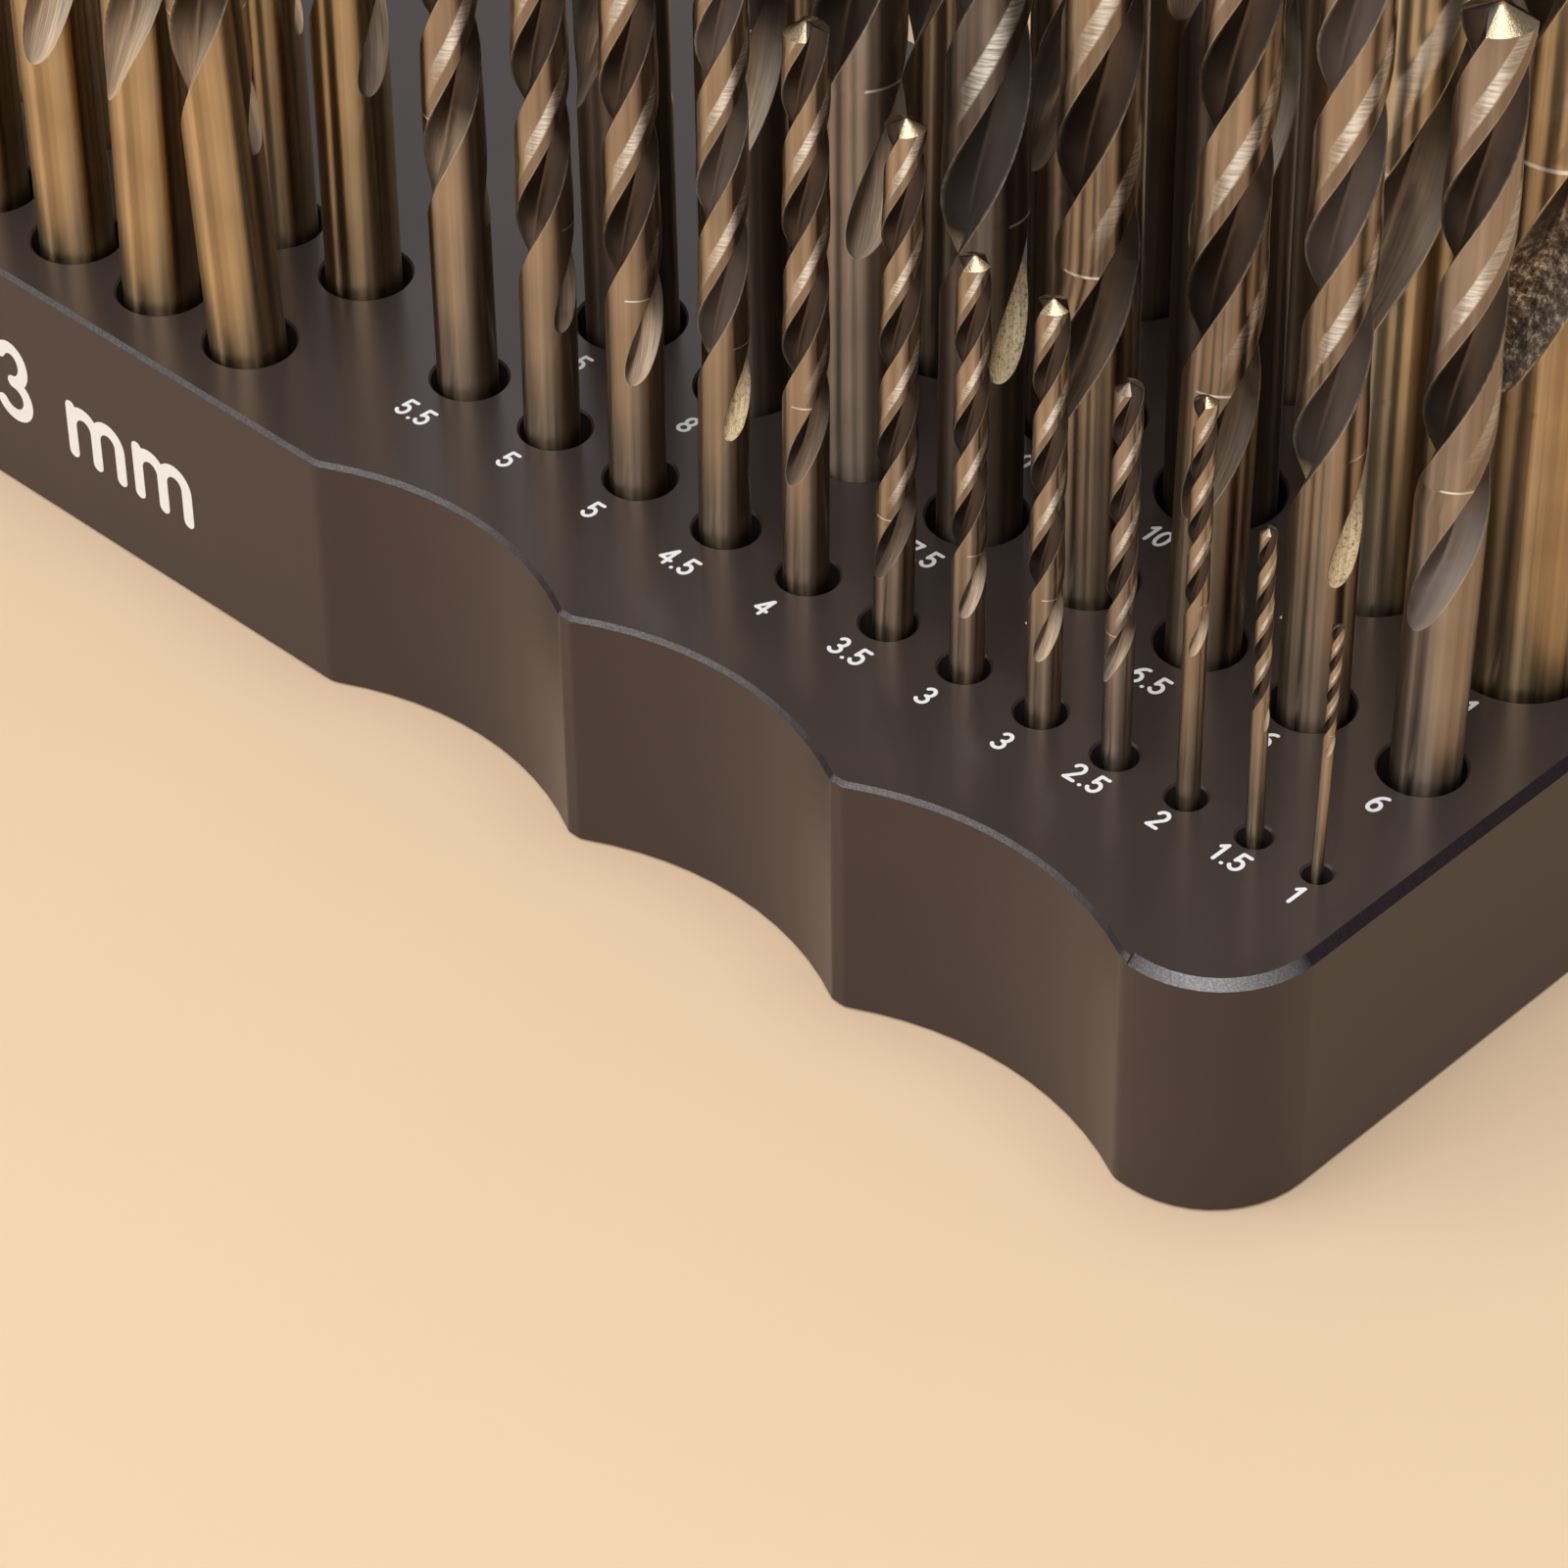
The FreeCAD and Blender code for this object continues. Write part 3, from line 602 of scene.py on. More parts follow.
class Nodes:
    """Short calls to add and join the nodes of one material or group."""

    def __init__(self, tree):
        self.tree = tree

    def add(self, kind, inputs=None, **settings):
        """Add a node with the given inputs and properties."""
        node = self.tree.nodes.new(kind)
        for name, value in settings.items():
            setattr(node, name, value)
        self.fill(node, inputs or {})
        return node

    def fill(self, node, inputs):
        """Set or link a node's inputs, by name or number."""
        for name, value in inputs.items():
            if isinstance(value, bpy.types.NodeSocket):
                self.tree.links.new(value, node.inputs[name])
            else:
                node.inputs[name].default_value = value

    def math(self, operation, first, second=0.0, third=0.0):
        """Output of a Math node."""
        return self.add("ShaderNodeMath", {0: first, 1: second, 2: third},
                        operation=operation).outputs[0]

    def times(self, first, *others):
        """Product of values."""
        for other in others:
            first = self.math("MULTIPLY", first, other)
        return first

    def ease(self, value, low, high):
        """0 up to low, 1 from high on, and a smooth step between."""
        return self.add("ShaderNodeMapRange", {0: value, 1: low, 2: high},
                        interpolation_type="SMOOTHSTEP").outputs[0]

    def band(self, value, low, high, soft):
        """1 where value lies between low and high, fading over soft at both ends."""
        return self.math("SUBTRACT", self.ease(value, low - soft, low + soft),
                         self.ease(value, high - soft, high + soft))

    def mix(self, factor, first, second, blend="MIX"):
        """Mixed colour."""
        return self.add("ShaderNodeMix", {0: factor, 6: first, 7: second},
                        data_type="RGBA", blend_type=blend).outputs[2]

    def between(self, factor, pair):
        """Colour between the two of a pair."""
        return self.mix(factor, colour(*pair[0]), colour(*pair[1]))

    def split(self, vector):
        """The three parts of a vector."""
        return self.add("ShaderNodeSeparateXYZ", {0: vector}).outputs

    def stretched(self, vector, scale):
        """Vector with each of its parts scaled."""
        return self.add("ShaderNodeMapping", {0: vector, 3: scale}).outputs[0]

    def span(self, value, low, high, first, second):
        """Value carried from the range low to high into first to second, and held there."""
        return self.add("ShaderNodeMapRange",
                        {0: value, 1: low, 2: high, 3: first, 4: second}).outputs[0]

    def grey(self, value):
        """Grey colour of a value."""
        return self.add("ShaderNodeCombineColor", {0: value, 1: value, 2: value}).outputs[0]

    def noise(self, vector, scale, detail=2.0, roughness=0.5):
        """Noise value."""
        return self.add("ShaderNodeTexNoise", {"Vector": vector, "Scale": scale, "Detail": detail,
                                               "Roughness": roughness}).outputs[0]

    def ramp(self, value, stops):
        """Colour that passes smoothly through stops of place and colour, both ends first."""
        node = self.add("ShaderNodeValToRGB", {0: value})
        node.color_ramp.interpolation = "EASE"
        elements = node.color_ramp.elements
        for index, (place, tone) in enumerate(stops):
            element = elements[index] if index < 2 else elements.new(place)
            element.position = place
            element.color = tone
        return node.outputs[0]


def new_group(name, inputs, outputs):
    """Node group that gives values. Its inputs are values with a default, or else vectors."""
    tree = bpy.data.node_groups.new(name, "ShaderNodeTree")
    for socket, default in inputs.items():
        kind = "NodeSocketVector" if default is None else "NodeSocketFloat"
        made = tree.interface.new_socket(socket, in_out="INPUT", socket_type=kind)
        if default is not None:
            made.default_value = default
    for socket in outputs:
        tree.interface.new_socket(socket, in_out="OUTPUT", socket_type="NodeSocketFloat")
    return tree, Nodes(tree)


def streak_group():
    """Bands along one axis: fine and broad noise, stretched, from 0 to 1."""
    tree, nodes = new_group("grinding_streaks", {"Vector": None, "Density": 2.0, "Stretch": 0.02},
                            ["Fine", "Broad"])
    source = nodes.add("NodeGroupInput").outputs
    parts = nodes.split(source["Vector"])
    along = nodes.times(parts[2], source["Stretch"])
    vector = nodes.add("ShaderNodeCombineXYZ", {0: parts[0], 1: parts[1], 2: along}).outputs[0]
    scale = nodes.add("ShaderNodeVectorMath", {0: vector, "Scale": source["Density"]},
                      operation="SCALE").outputs[0]
    fine = nodes.noise(scale, 4.0, 3.0)
    broad = nodes.noise(scale, 1.0, 1.0)
    nodes.add("NodeGroupOutput", {"Fine": fine, "Broad": broad})
    return tree


def edge_highlight_group():
    """Thin painted highlight along both edges of the flute, broken up by noise, from 0 to 1."""
    tree, nodes = new_group("flute_edge_highlights", {"Across": 0.0, "Vector": None, "Width": 0.012},
                            ["Edge Highlight"])
    source = nodes.add("NodeGroupInput").outputs
    lip = nodes.math("ABSOLUTE", nodes.math("SUBTRACT", source["Across"], LIP_ANGLE / math.pi))
    middle = nodes.math("ABSOLUTE", nodes.math("SUBTRACT", source["Across"], 0.5))
    heel = nodes.math("SUBTRACT", 0.5, middle)
    nearest = nodes.math("MINIMUM", lip, heel)
    line = nodes.math("SUBTRACT", 1.0, nodes.math("DIVIDE", nearest, source["Width"]))
    broken = nodes.span(nodes.noise(source["Vector"], 1.5, 2.0), 0.35, 0.6, 0.35, 1.0)
    painted_edge_light = nodes.times(nodes.math("MAXIMUM", line, 0.0), broken)
    nodes.add("NodeGroupOutput", {"Edge Highlight": painted_edge_light})
    return tree


STREAKS = streak_group()
EDGE_HIGHLIGHTS = edge_highlight_group()


def new_material(name):
    """Material with an output and a Principled shader, and its nodes helper."""
    material = bpy.data.materials.new(name)
    material.use_nodes = True
    material.node_tree.nodes.clear()
    nodes = Nodes(material.node_tree)
    shader = nodes.add("ShaderNodeBsdfPrincipled")
    nodes.add("ShaderNodeOutputMaterial", {0: shader.outputs[0]})
    return material, nodes, shader


def place_on_bit(nodes):
    """Place on the upright bit, in mm."""
    return nodes.add("ShaderNodeAttribute", attribute_name="blank").outputs["Vector"]


def place_on_map(nodes):
    """Place on the flute map, and its parts: angle over a half turn, height over the run-out."""
    uv = nodes.add("ShaderNodeUVMap", uv_map="flute_map").outputs[0]
    across, height = nodes.split(uv)[:2]
    return uv, across, height


def finish_metal(nodes, shader, base, roughness, relief, anisotropy, turn):
    """Join a steel's base, roughness and relief to its shader, brushed round or along the bit."""
    bump = nodes.add("ShaderNodeBump", {"Strength": 0.5, "Distance": 0.00005, "Height": relief})
    tangent = nodes.add("ShaderNodeTangent", direction_type="UV_MAP", uv_map="flute_map")
    nodes.fill(shader, {
        "Base Color": base, "Roughness": roughness, "Normal": bump.outputs[0],
        "Tangent": tangent.outputs[0], "Metallic": 1.0, "Anisotropic": anisotropy,
        "Anisotropic Rotation": turn})


def ground_steel(finish):
    """Shank and land: soft upright bands, a cut mark, and a painted highlight on the step beside
    the margin.
    """
    material, nodes, shader = new_material(f"ground_steel_{finish}")
    tone, _, least_rough = FINISHES[finish]
    blank = place_on_bit(nodes)
    uv, across, height = place_on_map(nodes)
    past_mark = nodes.add("ShaderNodeAttribute", attribute_name="past_mark").outputs["Fac"]
    streaks = nodes.add("ShaderNodeGroup", {"Vector": blank, "Density": 1.1, "Stretch": 0.006},
                        node_tree=STREAKS).outputs
    cloud = nodes.span(nodes.noise(blank, 0.12, 1.0), 0.35, 0.65, 0.9, 1.1)
    bands = nodes.times(nodes.span(streaks["Broad"], 0.34, 0.66, 0.70, 1.14),
                        nodes.span(streaks["Fine"], 0.3, 0.7, 0.93, 1.06), cloud)
    base = nodes.mix(1.0, colour(*tone), nodes.grey(bands), "MULTIPLY")

    relieved = nodes.ease(past_mark, 0.04, 0.12)
    lip = LIP_ANGLE / math.pi
    margin_from = (LIP_ANGLE - MARGIN_WIDTH[1]) / math.pi
    margin = nodes.times(relieved, nodes.band(across, margin_from, lip - 0.012, 0.01))
    base = nodes.mix(nodes.times(margin, 0.45), base, colour(*MARGIN_BROWN))

    # Painted highlight: the step turns pale where its normal faces STEP_GLINT, in place of a
    # lamp's glint. The same mask also raises its roughness and carries its grinding lines.
    normal = nodes.add("ShaderNodeNewGeometry").outputs["Normal"]
    facing = nodes.add("ShaderNodeVectorMath", {0: normal, 1: STEP_GLINT},
                       operation="DOT_PRODUCT").outputs["Value"]
    step = nodes.times(
        relieved, nodes.band(across, margin_from - STEP_WIDTH, margin_from - 0.01, 0.014),
        nodes.span(facing, 0.52, 0.82, 0.04, 1.0), nodes.span(past_mark, 0.4, 1.3, 0.0, 1.0))
    lines = nodes.noise(nodes.stretched(uv, (4.0, 26.0, 1.0)), 1.0, 3.0, 0.6)
    pale = nodes.times(step, nodes.span(lines, 0.36, 0.6, 0.30, 1.0))
    base = nodes.mix(pale, base, colour(*STEP_HIGHLIGHT_TONE))

    # The cut mark: a pale line, partly bare ground steel and partly a painted highlight on its
    # ledge.
    mark = nodes.times(nodes.band(past_mark, 0.0, MARK_THICKNESS, 0.008),
                       nodes.band(across, STEP_FROM / math.pi, lip, 0.01))
    # Painted highlight along the flute's edges, above the run-out's end.
    painted_edge_light = nodes.add("ShaderNodeGroup", {"Across": across, "Vector": blank, "Width": 0.012},
                     node_tree=EDGE_HIGHLIGHTS).outputs[0]
    painted_edge_light = nodes.times(painted_edge_light, nodes.ease(height, -0.01, 0.01))
    bright = nodes.math("MAXIMUM", mark, nodes.times(painted_edge_light, 0.35))
    base = nodes.mix(bright, base, colour(*BARE_STEEL_AND_HIGHLIGHT))

    smooth = nodes.span(streaks["Broad"], 0.3, 0.7, least_rough, least_rough + ROUGHNESS_SWING)
    roughness = nodes.math("MULTIPLY_ADD", nodes.math("MAXIMUM", step, mark), 0.14, smooth)
    relief = nodes.math("MULTIPLY_ADD", nodes.times(lines, step), 1.2,
                        nodes.times(streaks["Fine"], 0.15))
    finish_metal(nodes, shader, base, roughness, relief, 0.9, 0.25)
    return material


def cut_steel(finish, pocket):
    """Flutes: smooth, with painted shade under the lip and at the heel, and the tones of their
    run-out, which paint shade and highlight across it.
    """
    material, nodes, shader = new_material(f"cut_steel_{finish}_{pocket}")
    blank = place_on_bit(nodes)
    uv, across, height = place_on_map(nodes)
    middle = Vector(FINISHES[finish][1])
    share = nodes.span(across, LIP_ANGLE / math.pi, 1.0, 0.0, 1.0)
    # Painted shade: the flute's tone darkens towards the lip and the heel.
    tone = nodes.ramp(share, [(place, colour(*(part * middle))) for place, part in FLUTE_PAINTED_SHADE])
    under_lip, centre, near_heel = [colour(*low_tone) for low_tone in POCKET_TONES[pocket]]
    # Painted shade under the lip and painted highlight near the heel, across the run-out.
    low_tone = nodes.ramp(share, [(0.0, under_lip), (1.0, near_heel), (0.42, centre)])
    swirl = nodes.noise(nodes.stretched(uv, (40.0, 0.9, 1.0)), 1.0, 3.0, 0.6)
    ripple = nodes.noise(nodes.stretched(uv, (3.0, 12.0, 1.0)), 1.0, 2.0)
    at_runout = nodes.span(height, 0.9, 2.3, 1.0, 0.0)
    low_streaks = 0.05 if pocket == "blue" else 0.34
    contrast = nodes.math("MULTIPLY_ADD", at_runout, low_streaks, 0.05)
    swing = nodes.times(nodes.span(swirl, 0.32, 0.68, -1.0, 1.0), contrast)
    relief = nodes.math("MULTIPLY_ADD", ripple, 0.12, nodes.times(swirl, 0.08))
    if pocket in GRAINS:
        scale, low, high = GRAINS[pocket]
        grain = nodes.noise(blank, scale, 5.0, 0.8)
        specks = nodes.ramp(nodes.span(grain, low, high, 0.0, 1.0), [
            (0.0, under_lip), (1.0, near_heel), (0.45, centre)])
        low_tone = nodes.mix(0.85, low_tone, specks)
        at_runout = nodes.span(height, 1.1, 1.7, 1.0, 0.0)
        relief = nodes.math("MULTIPLY_ADD", nodes.times(grain, at_runout), 8.0, relief)
    base = nodes.mix(at_runout, tone, low_tone)
    base = nodes.mix(1.0, base, nodes.grey(nodes.math("ADD", swing, 1.0)), "MULTIPLY")
    # Painted highlight along the flute's edges.
    painted_edge_light = nodes.add("ShaderNodeGroup", {"Across": across, "Vector": blank, "Width": 0.013},
                     node_tree=EDGE_HIGHLIGHTS).outputs[0]
    base = nodes.mix(nodes.times(painted_edge_light, 0.4), base, colour(*FLUTE_EDGE_HIGHLIGHT))
    roughness = nodes.span(ripple, 0.3, 0.7, 0.38, 0.46)
    finish_metal(nodes, shader, base, roughness, relief, 0.4, 0.0)
    if pocket == "coarse":
        shader.inputs["Metallic"].default_value = 0.3
    return material


def point_steel():
    """Ground facets of the points: bright gold with fine lines."""
    material, nodes, shader = new_material("point_steel")
    streaks = nodes.add("ShaderNodeGroup",
                        {"Vector": place_on_bit(nodes), "Density": 2.0, "Stretch": 1.0},
                        node_tree=STREAKS).outputs
    base = nodes.between(nodes.span(streaks["Fine"], 0.3, 0.7, 0.0, 1.0), FACET_GOLD)
    roughness = nodes.span(streaks["Broad"], 0.3, 0.7, 0.17, 0.23)
    finish_metal(nodes, shader, base, roughness, streaks["Fine"], 0.3, 0.0)
    return material


def chamfer_mask(nodes, x, y, height, upward):
    """1 on the chamfers round the block's top, and 0 elsewhere and in the holes' mouths."""
    from_middle = nodes.math("ABSOLUTE", x)
    centre = nodes.span(from_middle, CENTRE_HALF * MM, (CENTRE_HALF + 1) * MM, 1.0, 0.0)
    limit = nodes.math("MULTIPLY_ADD", centre, -CENTRE_FURTHER * MM, CHAMFER_FRONT_Y * MM)
    front = nodes.math("LESS_THAN", y, limit)
    sides = nodes.math("GREATER_THAN", from_middle, CHAMFER_SIDE_X * MM)
    rear = nodes.math("GREATER_THAN", y, CHAMFER_REAR_Y * MM)
    outline = nodes.math("MAXIMUM", front, nodes.math("MAXIMUM", sides, rear))
    from_height = (BLOCK_TOP - CHAMFER_DEPTH) * MM
    near_top = nodes.ease(height, from_height - 0.0001, from_height + 0.0001)
    return nodes.times(nodes.band(upward, 0.35, 0.92, 0.05), near_top, outline)


def round_corner(nodes, x, y):
    """Share of the way round a corner from its side to its front, and a hump that is 1 halfway."""
    beyond = nodes.math("SUBTRACT", nodes.math("ABSOLUTE", x), CORNER_X * MM)
    beyond = nodes.math("MAXIMUM", beyond, 0.00001)
    before = nodes.math("SUBTRACT", nodes.math("ABSOLUTE", y), CORNER_Y * MM)
    before = nodes.math("MAXIMUM", before, 0.0)
    share = nodes.math("DIVIDE", before, nodes.math("ADD", beyond, before))
    return share, nodes.times(share, 4.0, nodes.math("SUBTRACT", 1.0, share))


def anodised_aluminium():
    """Black anodised block: satin walls, a softly glossy top, and bare chamfers.

    The chamfers carry painted light: a painted highlight round the corners, paler where they face
    front or right than where they face left, and painted shade along the sides."""
    material, nodes, shader = new_material("anodised_aluminium")
    place = nodes.add("ShaderNodeTexCoord").outputs["Object"]
    x, y, height = nodes.split(place)
    normal = nodes.add("ShaderNodeNewGeometry").outputs["True Normal"]
    sideways, _, upward = nodes.split(normal)
    chamfer = chamfer_mask(nodes, x, y, height, upward)
    facing, corner = round_corner(nodes, x, y)

    cloud = nodes.noise(place, 90.0, 3.0)
    grain = nodes.noise(place, 6000.0, 2.0)
    sparkle = nodes.span(grain, 0.4, 0.7, 0.0, 1.0)
    # Painted light and shade on the bare chamfers: shade along the sides and where they face left,
    # light where they face front or right, and a highlight round the corners.
    shaded_chamfer = nodes.between(sparkle, SIDE_CHAMFER_SHADE)
    lit_chamfer = nodes.between(sparkle, FRONT_CHAMFER_LIGHT)
    lit_chamfer = nodes.mix(nodes.span(sideways, -0.34, 0.12, 0.0, 1.0), shaded_chamfer, lit_chamfer)
    painted_edge_light = nodes.mix(corner, nodes.mix(facing, shaded_chamfer, lit_chamfer),
                     nodes.between(sparkle, CORNER_CHAMFER_HIGHLIGHT))
    base = nodes.mix(chamfer, nodes.between(cloud, ANODISED), painted_edge_light)
    satin = nodes.span(cloud, 0.2, 0.8, 0.28, 0.34)
    roughness = nodes.math("MULTIPLY_ADD", chamfer, 0.14, satin)
    bump = nodes.add("ShaderNodeBump", {"Strength": 0.12, "Distance": 0.00001, "Height": grain})
    gloss = nodes.span(upward, 0.95, 0.99, 0.0, 0.45)
    nodes.fill(shader, {
        "Base Color": base, "Roughness": roughness, "Normal": bump.outputs[0],
        "Coat Weight": gloss, "Coat Roughness": 0.22, "Coat IOR": 1.8, "Metallic": 0.35,
        "Specular IOR Level": 0.3})
    return material


def white_print():
    """White pad-printed ink, slightly uneven."""
    material, nodes, shader = new_material("white_print")
    place = nodes.add("ShaderNodeTexCoord").outputs["Object"]
    nodes.fill(shader, {"Base Color": nodes.between(nodes.noise(place, 1500.0), INK),
                        "Roughness": 0.45})
    return material


def arc(middle_x, middle_y, half_width, half_height, start, end):
    """Points along part of an ellipse, from one angle to another in degrees."""
    turn = np.radians(np.linspace(start, end, 25))
    return np.stack([middle_x + half_width * np.cos(turn),
                     middle_y + half_height * np.sin(turn)], -1)


def line(*corners):
    """Points of a straight line."""
    return np.array(corners, dtype=float)


# Signs as pen strokes in a height of 1: how far each moves the pen on, and the pen's paths.
PEN = 0.15
PEN_END_TURNS = (84, 65, 45, 22)
BASE, CAP = 0.5 * PEN, 1 - 0.5 * PEN
SIX = [arc(0.30, 0.33, 0.205, BASE - 0.33, 0, 360),
       arc(0.46, 0.36, 0.365, CAP - 0.36, 180, 88)]
SIGNS = {
    "0": (0.66, [arc(0.30, 0.5, 0.21, CAP - 0.5, 0, 360)]),
    "1": (0.50, [line((0.29, CAP), (0.29, BASE)), line((0.29, CAP), (0.11, 0.74))]),
    "2": (0.66, [np.concatenate([arc(0.29, 0.69, 0.20, CAP - 0.69, 165, -38), line((0.10, BASE))]),
                 line((0.10, BASE), (0.51, BASE))]),
    "3": (0.66, [arc(0.28, 0.71, 0.185, CAP - 0.71, 150, -90),
                 arc(0.28, 0.285, 0.215, 0.285 - BASE, 90, -150)]),
    "4": (0.68, [line((0.40, CAP), (0.08, 0.32)), line((0.08, 0.32), (0.57, 0.32)),
                 line((0.42, CAP), (0.42, BASE))]),
    "5": (0.66, [line((0.48, CAP), (0.16, CAP)), line((0.15, CAP), (0.12, 0.52)),
                 arc(0.28, 0.335, 0.215, 0.335 - BASE, 138, -150)]),
    "6": (0.66, SIX),
    "7": (0.64, [line((0.08, CAP), (0.52, CAP)), line((0.52, CAP), (0.24, BASE))]),
    "8": (0.66, [arc(0.30, 0.71, 0.175, CAP - 0.71, 0, 360),
                 arc(0.30, 0.285, 0.21, 0.285 - BASE, 0, 360)]),
    "9": (0.66, [line((0.60, 1.0)) - path for path in SIX]),
    ".": (0.31, [line((0.145, BASE), (0.155, BASE))]),
    "/": (0.58, [line((0.08, 0.0), (0.46, 1.0))]),
    "–": (0.84, [line((0.12, 0.42), (0.72, 0.42))]),
    "m": (1.02, [line((0.12, 0.64), (0.12, BASE)),
                 np.concatenate([arc(0.305, 0.43, 0.185, 0.19, 180, 0), line((0.49, BASE))]),
                 np.concatenate([arc(0.675, 0.43, 0.185, 0.19, 180, 0), line((0.86, BASE))])]),
    " ": (0.42, []),
}


def pen_stroke(path, bottom, top):
    """Closed prism that a round pen leaves along a path, as vertices and faces.

    At every point of the path stands a rectangle across its direction. At an open end the
    rectangles narrow as a cosine while they move on as a sine, which draws a half circle."""
    radius = 0.5 * PEN
    closed = np.allclose(path[0], path[-1])
    if closed:
        path = path[:-1]
        along = np.roll(path, -1, 0) - np.roll(path, 1, 0)
    else:
        along = np.gradient(path, axis=0)
    along = along / np.linalg.norm(along, axis=1)[:, None]
    halves = np.full(len(path), radius)
    if not closed:
        turn = np.radians(PEN_END_TURNS)[:, None]
        first = path[0] - radius * np.sin(turn) * along[0]
        last = path[-1] + radius * np.sin(turn[::-1]) * along[-1]
        path = np.concatenate([first, path, last])
        narrow = radius * np.cos(turn[:, 0])
        halves = np.concatenate([narrow, halves, narrow[::-1]])
        along = np.concatenate([np.repeat(along[:1], len(turn), 0), along,
                                np.repeat(along[-1:], len(turn), 0)])
    across = halves[:, None] * np.stack([-along[:, 1], along[:, 0]], -1)
    left, right = path + across, path - across
    flat = np.stack([left, right, right, left], 1)
    level = np.broadcast_to(np.array([bottom, bottom, top, top]), flat.shape[:2])
    vertices = np.concatenate([flat, level[:, :, None]], -1).reshape(-1, 3)
    count = len(path)
    section, corner = np.meshgrid(np.arange(count if closed else count - 1), np.arange(4),
                                  indexing="ij")
    following, after = (section + 1) % count, (corner + 1) % 4
    faces = np.stack([section * 4 + corner, following * 4 + corner,
                      following * 4 + after, section * 4 + after], -1).reshape(-1, 4)
    if not closed:
        ends = [[0, 1, 2, 3], [4 * count - 1, 4 * count - 2, 4 * count - 3, 4 * count - 4]]
        faces = np.concatenate([faces, ends])
    return vertices, faces


def place_print(name, text, height, matrix, white):
    """Print a line of text on the block, its middle and directions given by a matrix."""
    vertices, faces, start, count = [], [], 0.0, 0
    for sign in text:
        advance, paths = SIGNS[sign]
        for level, path in enumerate(paths):
            proud = (PRINT_THICKNESS + LEVEL_STEP * level) / height
            points, quads = pen_stroke(path + [start, 0], -PRINT_THICKNESS / height, proud)
            vertices.append(points)
            faces.append(quads + count)
            count += len(points)
        start += advance
    vertices = np.concatenate(vertices)
    middle = 0.5 * (vertices[:, 0].max() + vertices[:, 0].min())
    placed = (vertices - [middle, 0.5, 0]) * height * MM
    turn = np.array(matrix.to_3x3())
    placed = placed @ turn.T + np.array(matrix.translation)
    thing = mesh_from(name, placed, np.concatenate(faces).tolist(), smooth=False)
    thing.data.materials.append(white)
    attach(thing, "stand")
    return thing


def print_sizes(plans, white):
    """White size beside every hole, flat on the top face in front of it."""
    for plan in plans:
        if not plan["label"]:
            continue
        x, y = plan["hole"]
        gap = LABEL_GAPS.get(plan["diameter"], USUAL_LABEL_GAP)
        back = 0.5 * (plan["diameter"] + HOLE_CLEARANCE) + gap
        centre = Vector((x + LABEL_SHIFT, y - back, BLOCK_TOP)) * MM
        place_print(plan["name"].replace("bit", "size"), plan["label"], LABEL_HEIGHT,
                    Matrix.Translation(centre), white)


def photo_camera():
    """Camera fitted to the photograph: a turn about Z, a tilt up and a roll, then a shift."""
    azimuth, elevation, roll = [math.radians(turn) for turn in CAMERA_TURNS]
    back = Vector((math.sin(azimuth) * math.cos(elevation),
                   -math.cos(azimuth) * math.cos(elevation), math.sin(elevation)))
    right = Vector((math.cos(azimuth), math.sin(azimuth), 0))
    up = back.cross(right)
    to_view = Matrix((
        right * math.cos(roll) - up * math.sin(roll),
        right * math.sin(roll) + up * math.cos(roll),
        back))
    shift = Vector((CAMERA_SHIFT[0], CAMERA_SHIFT[1], -CAMERA_SHIFT[2]))
    place = to_view.transposed() @ -shift + Vector(CAMERA_ORIGIN)
    data = bpy.data.cameras.new("photo_camera")
    data.sensor_width = SENSOR_WIDTH
    data.lens = FOCAL_PIXELS * SENSOR_WIDTH / PHOTO_PIXELS
    data.clip_start = 0.01
    data.clip_end = 50.0
    camera = new_object("photo_camera", data)
    camera.matrix_world = Matrix.Translation(place * MM) @ to_view.transposed().to_4x4()
    bpy.context.scene.camera = camera


def softbox(name, place, width, height, power):
    """Rectangular area lamp at a place, facing the stand."""
    data = bpy.data.lights.new(name, "AREA")
    data.shape = "RECTANGLE"
    data.size = width
    data.size_y = height
    data.energy = power
    lamp = new_object(name, data)
    direction = Vector(LAMP_AIM) - Vector(place)
    lamp.rotation_euler = direction.to_track_quat("-Z", "Y").to_euler()
    lamp.location = place


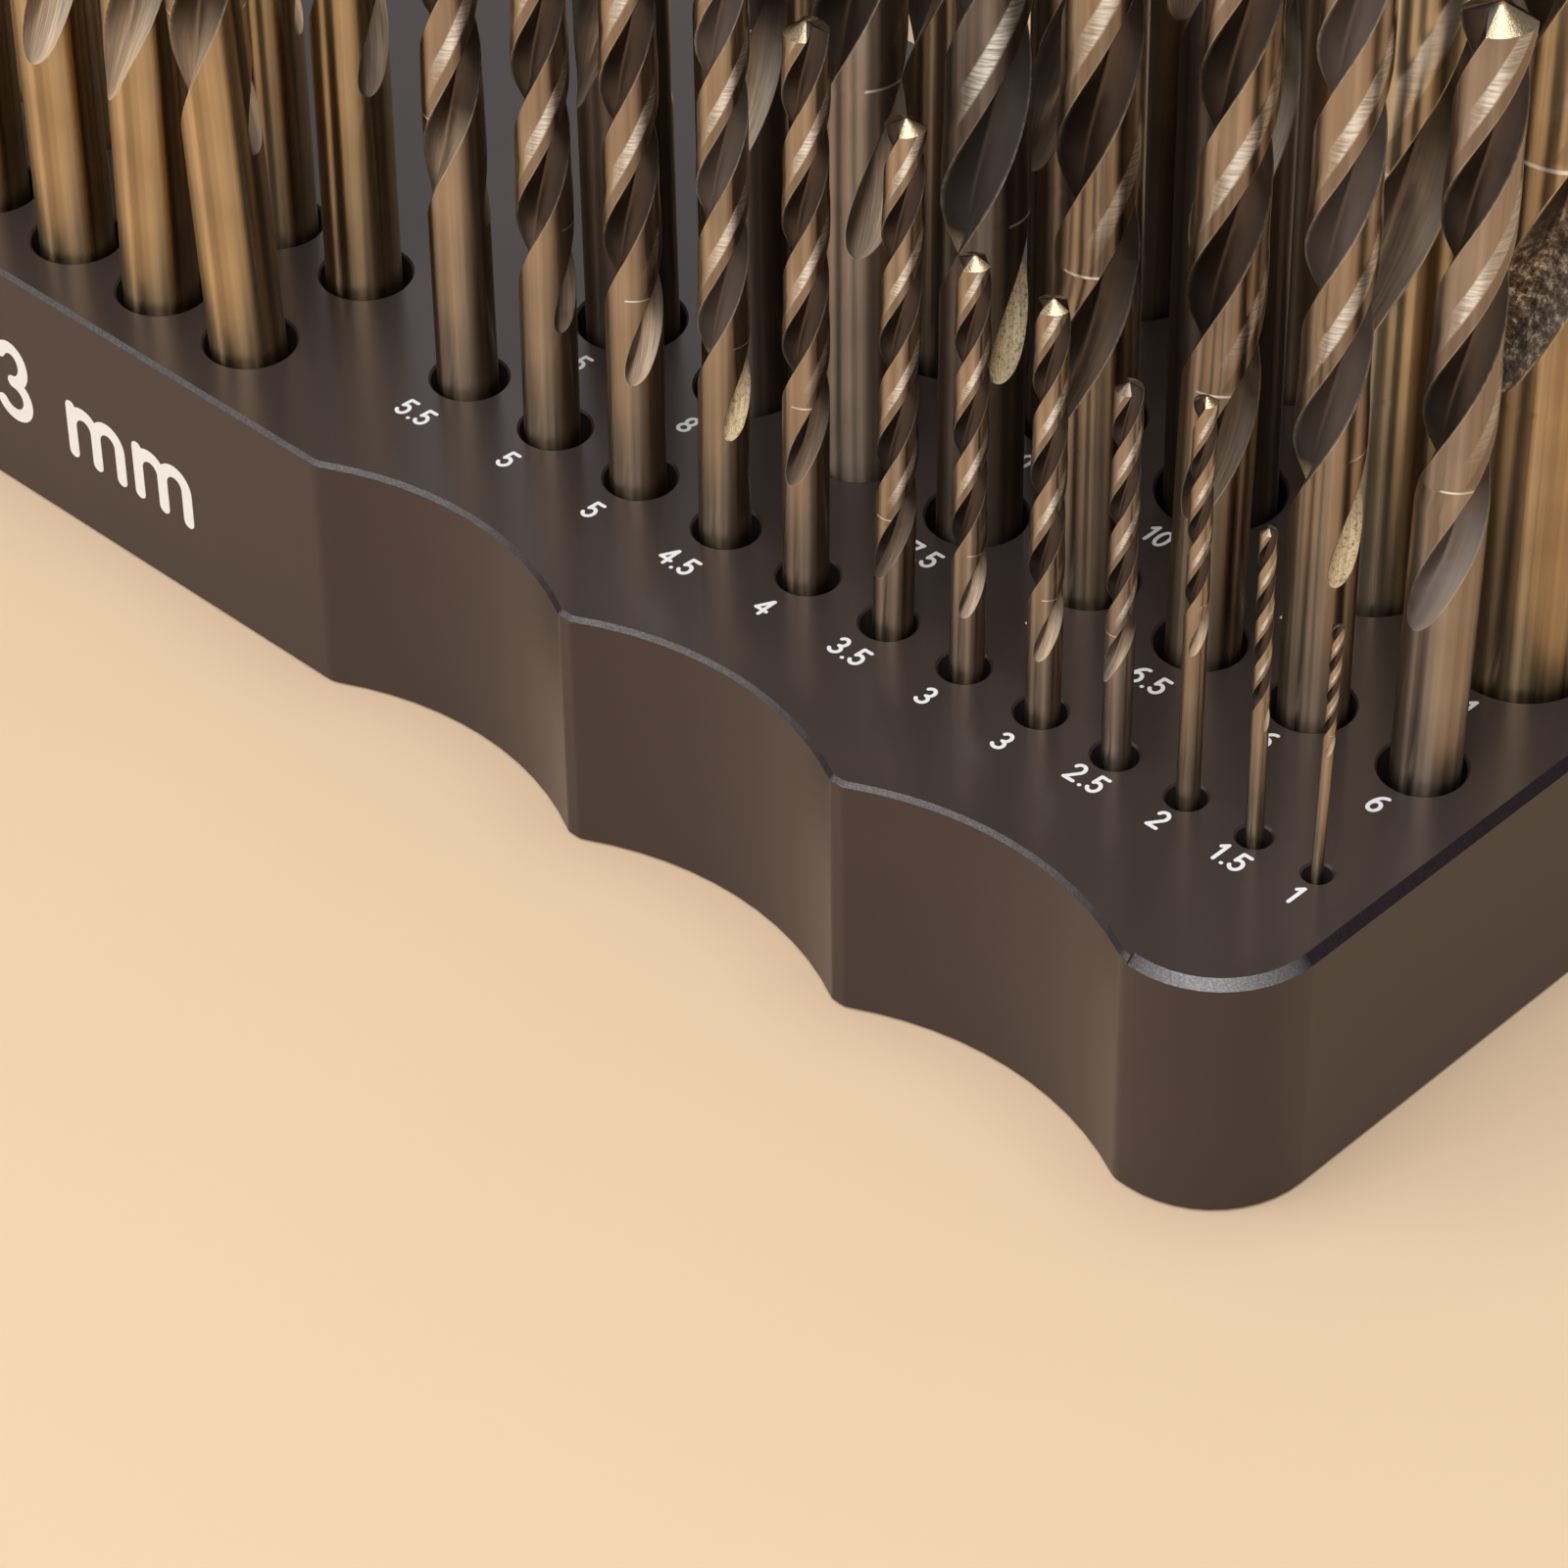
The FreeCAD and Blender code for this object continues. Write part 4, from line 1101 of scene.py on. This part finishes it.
def pale_floor():
    """Plain pale floor. Far from the stand, past the lamps' reach, it shows its own even tone."""
    corners = FLOOR_HALF * np.array([[-1, -1, 0], [1, -1, 0], [1, 1, 0], [-1, 1, 0]])
    floor = mesh_from("floor", corners, [[0, 1, 2, 3]])
    material, nodes, shader = new_material("pale_floor")
    nodes.fill(shader, {"Base Color": colour(*FLOOR_TONE), "Roughness": 0.6})
    place = nodes.add("ShaderNodeTexCoord").outputs["Object"]
    away = nodes.add("ShaderNodeVectorMath", {0: place}, operation="LENGTH").outputs["Value"]
    ray = nodes.add("ShaderNodeLightPath").outputs
    seen = nodes.math("MAXIMUM", ray["Is Camera Ray"], ray["Is Glossy Ray"])
    even = nodes.add("ShaderNodeEmission", {"Color": colour(*FAR_FLOOR_TONE)})
    blend = nodes.add("ShaderNodeMixShader", {0: nodes.times(nodes.ease(away, *FAR_FLOOR), seen),
                                              1: shader.outputs[0], 2: even.outputs[0]})
    surface = next(node for node in nodes.tree.nodes if node.type == "OUTPUT_MATERIAL").inputs[0]
    nodes.tree.links.new(blend.outputs[0], surface)
    floor.data.materials.append(material)


def studio():
    """Floor, a grey world and soft lamps."""
    pale_floor()
    world = bpy.data.worlds.new("studio")
    world.use_nodes = True
    background = world.node_tree.nodes["Background"]
    background.inputs[0].default_value = colour(*WORLD_GREY)
    background.inputs[1].default_value = WORLD_STRENGTH
    bpy.context.scene.world = world
    for name, (place, width, height, power) in LAMPS.items():
        softbox(name, place, width, height, power)


def main():
    """Dress the frame: block finish, ground bits, printed sizes, camera and light."""
    plans = right_group() + centre_group() + left_group()
    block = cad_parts["block"]
    block.data.materials.clear()
    block.data.materials.append(anodised_aluminium())
    steels = {}
    facets = point_steel()
    for plan in plans:
        finish, pocket = plan["finish"], plan["pocket"]
        if finish not in steels:
            steels[finish] = ground_steel(finish)
        if (finish, pocket) not in steels:
            steels[(finish, pocket)] = cut_steel(finish, pocket)
        bit = make_bit(plan, 1 if plan["diameter"] < FINE_BITS_BELOW else 2)
        bit.data.materials.append(steels[finish])
        bit.data.materials.append(steels[(finish, pocket)])
        dull = plan["diameter"] in DULL_TIPS
        bit.data.materials.append(steels[finish] if dull else facets)
        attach(bit, plan["name"] + "_body")
        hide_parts(plan["name"])
    white = white_print()
    print_sizes(plans, white)
    front = Matrix.Translation(Vector((0, FRONT_Y, 0.5 * BLOCK_TOP)) * MM)
    place_print("front_range", "1–13 mm", FRONT_PRINT_HEIGHT,
                front @ Matrix.Rotation(math.radians(90), 4, "X"), white)
    photo_camera()
    studio()
    bpy.context.scene.view_settings.view_transform = "Standard"


main()
bpy.context.view_layer.update()
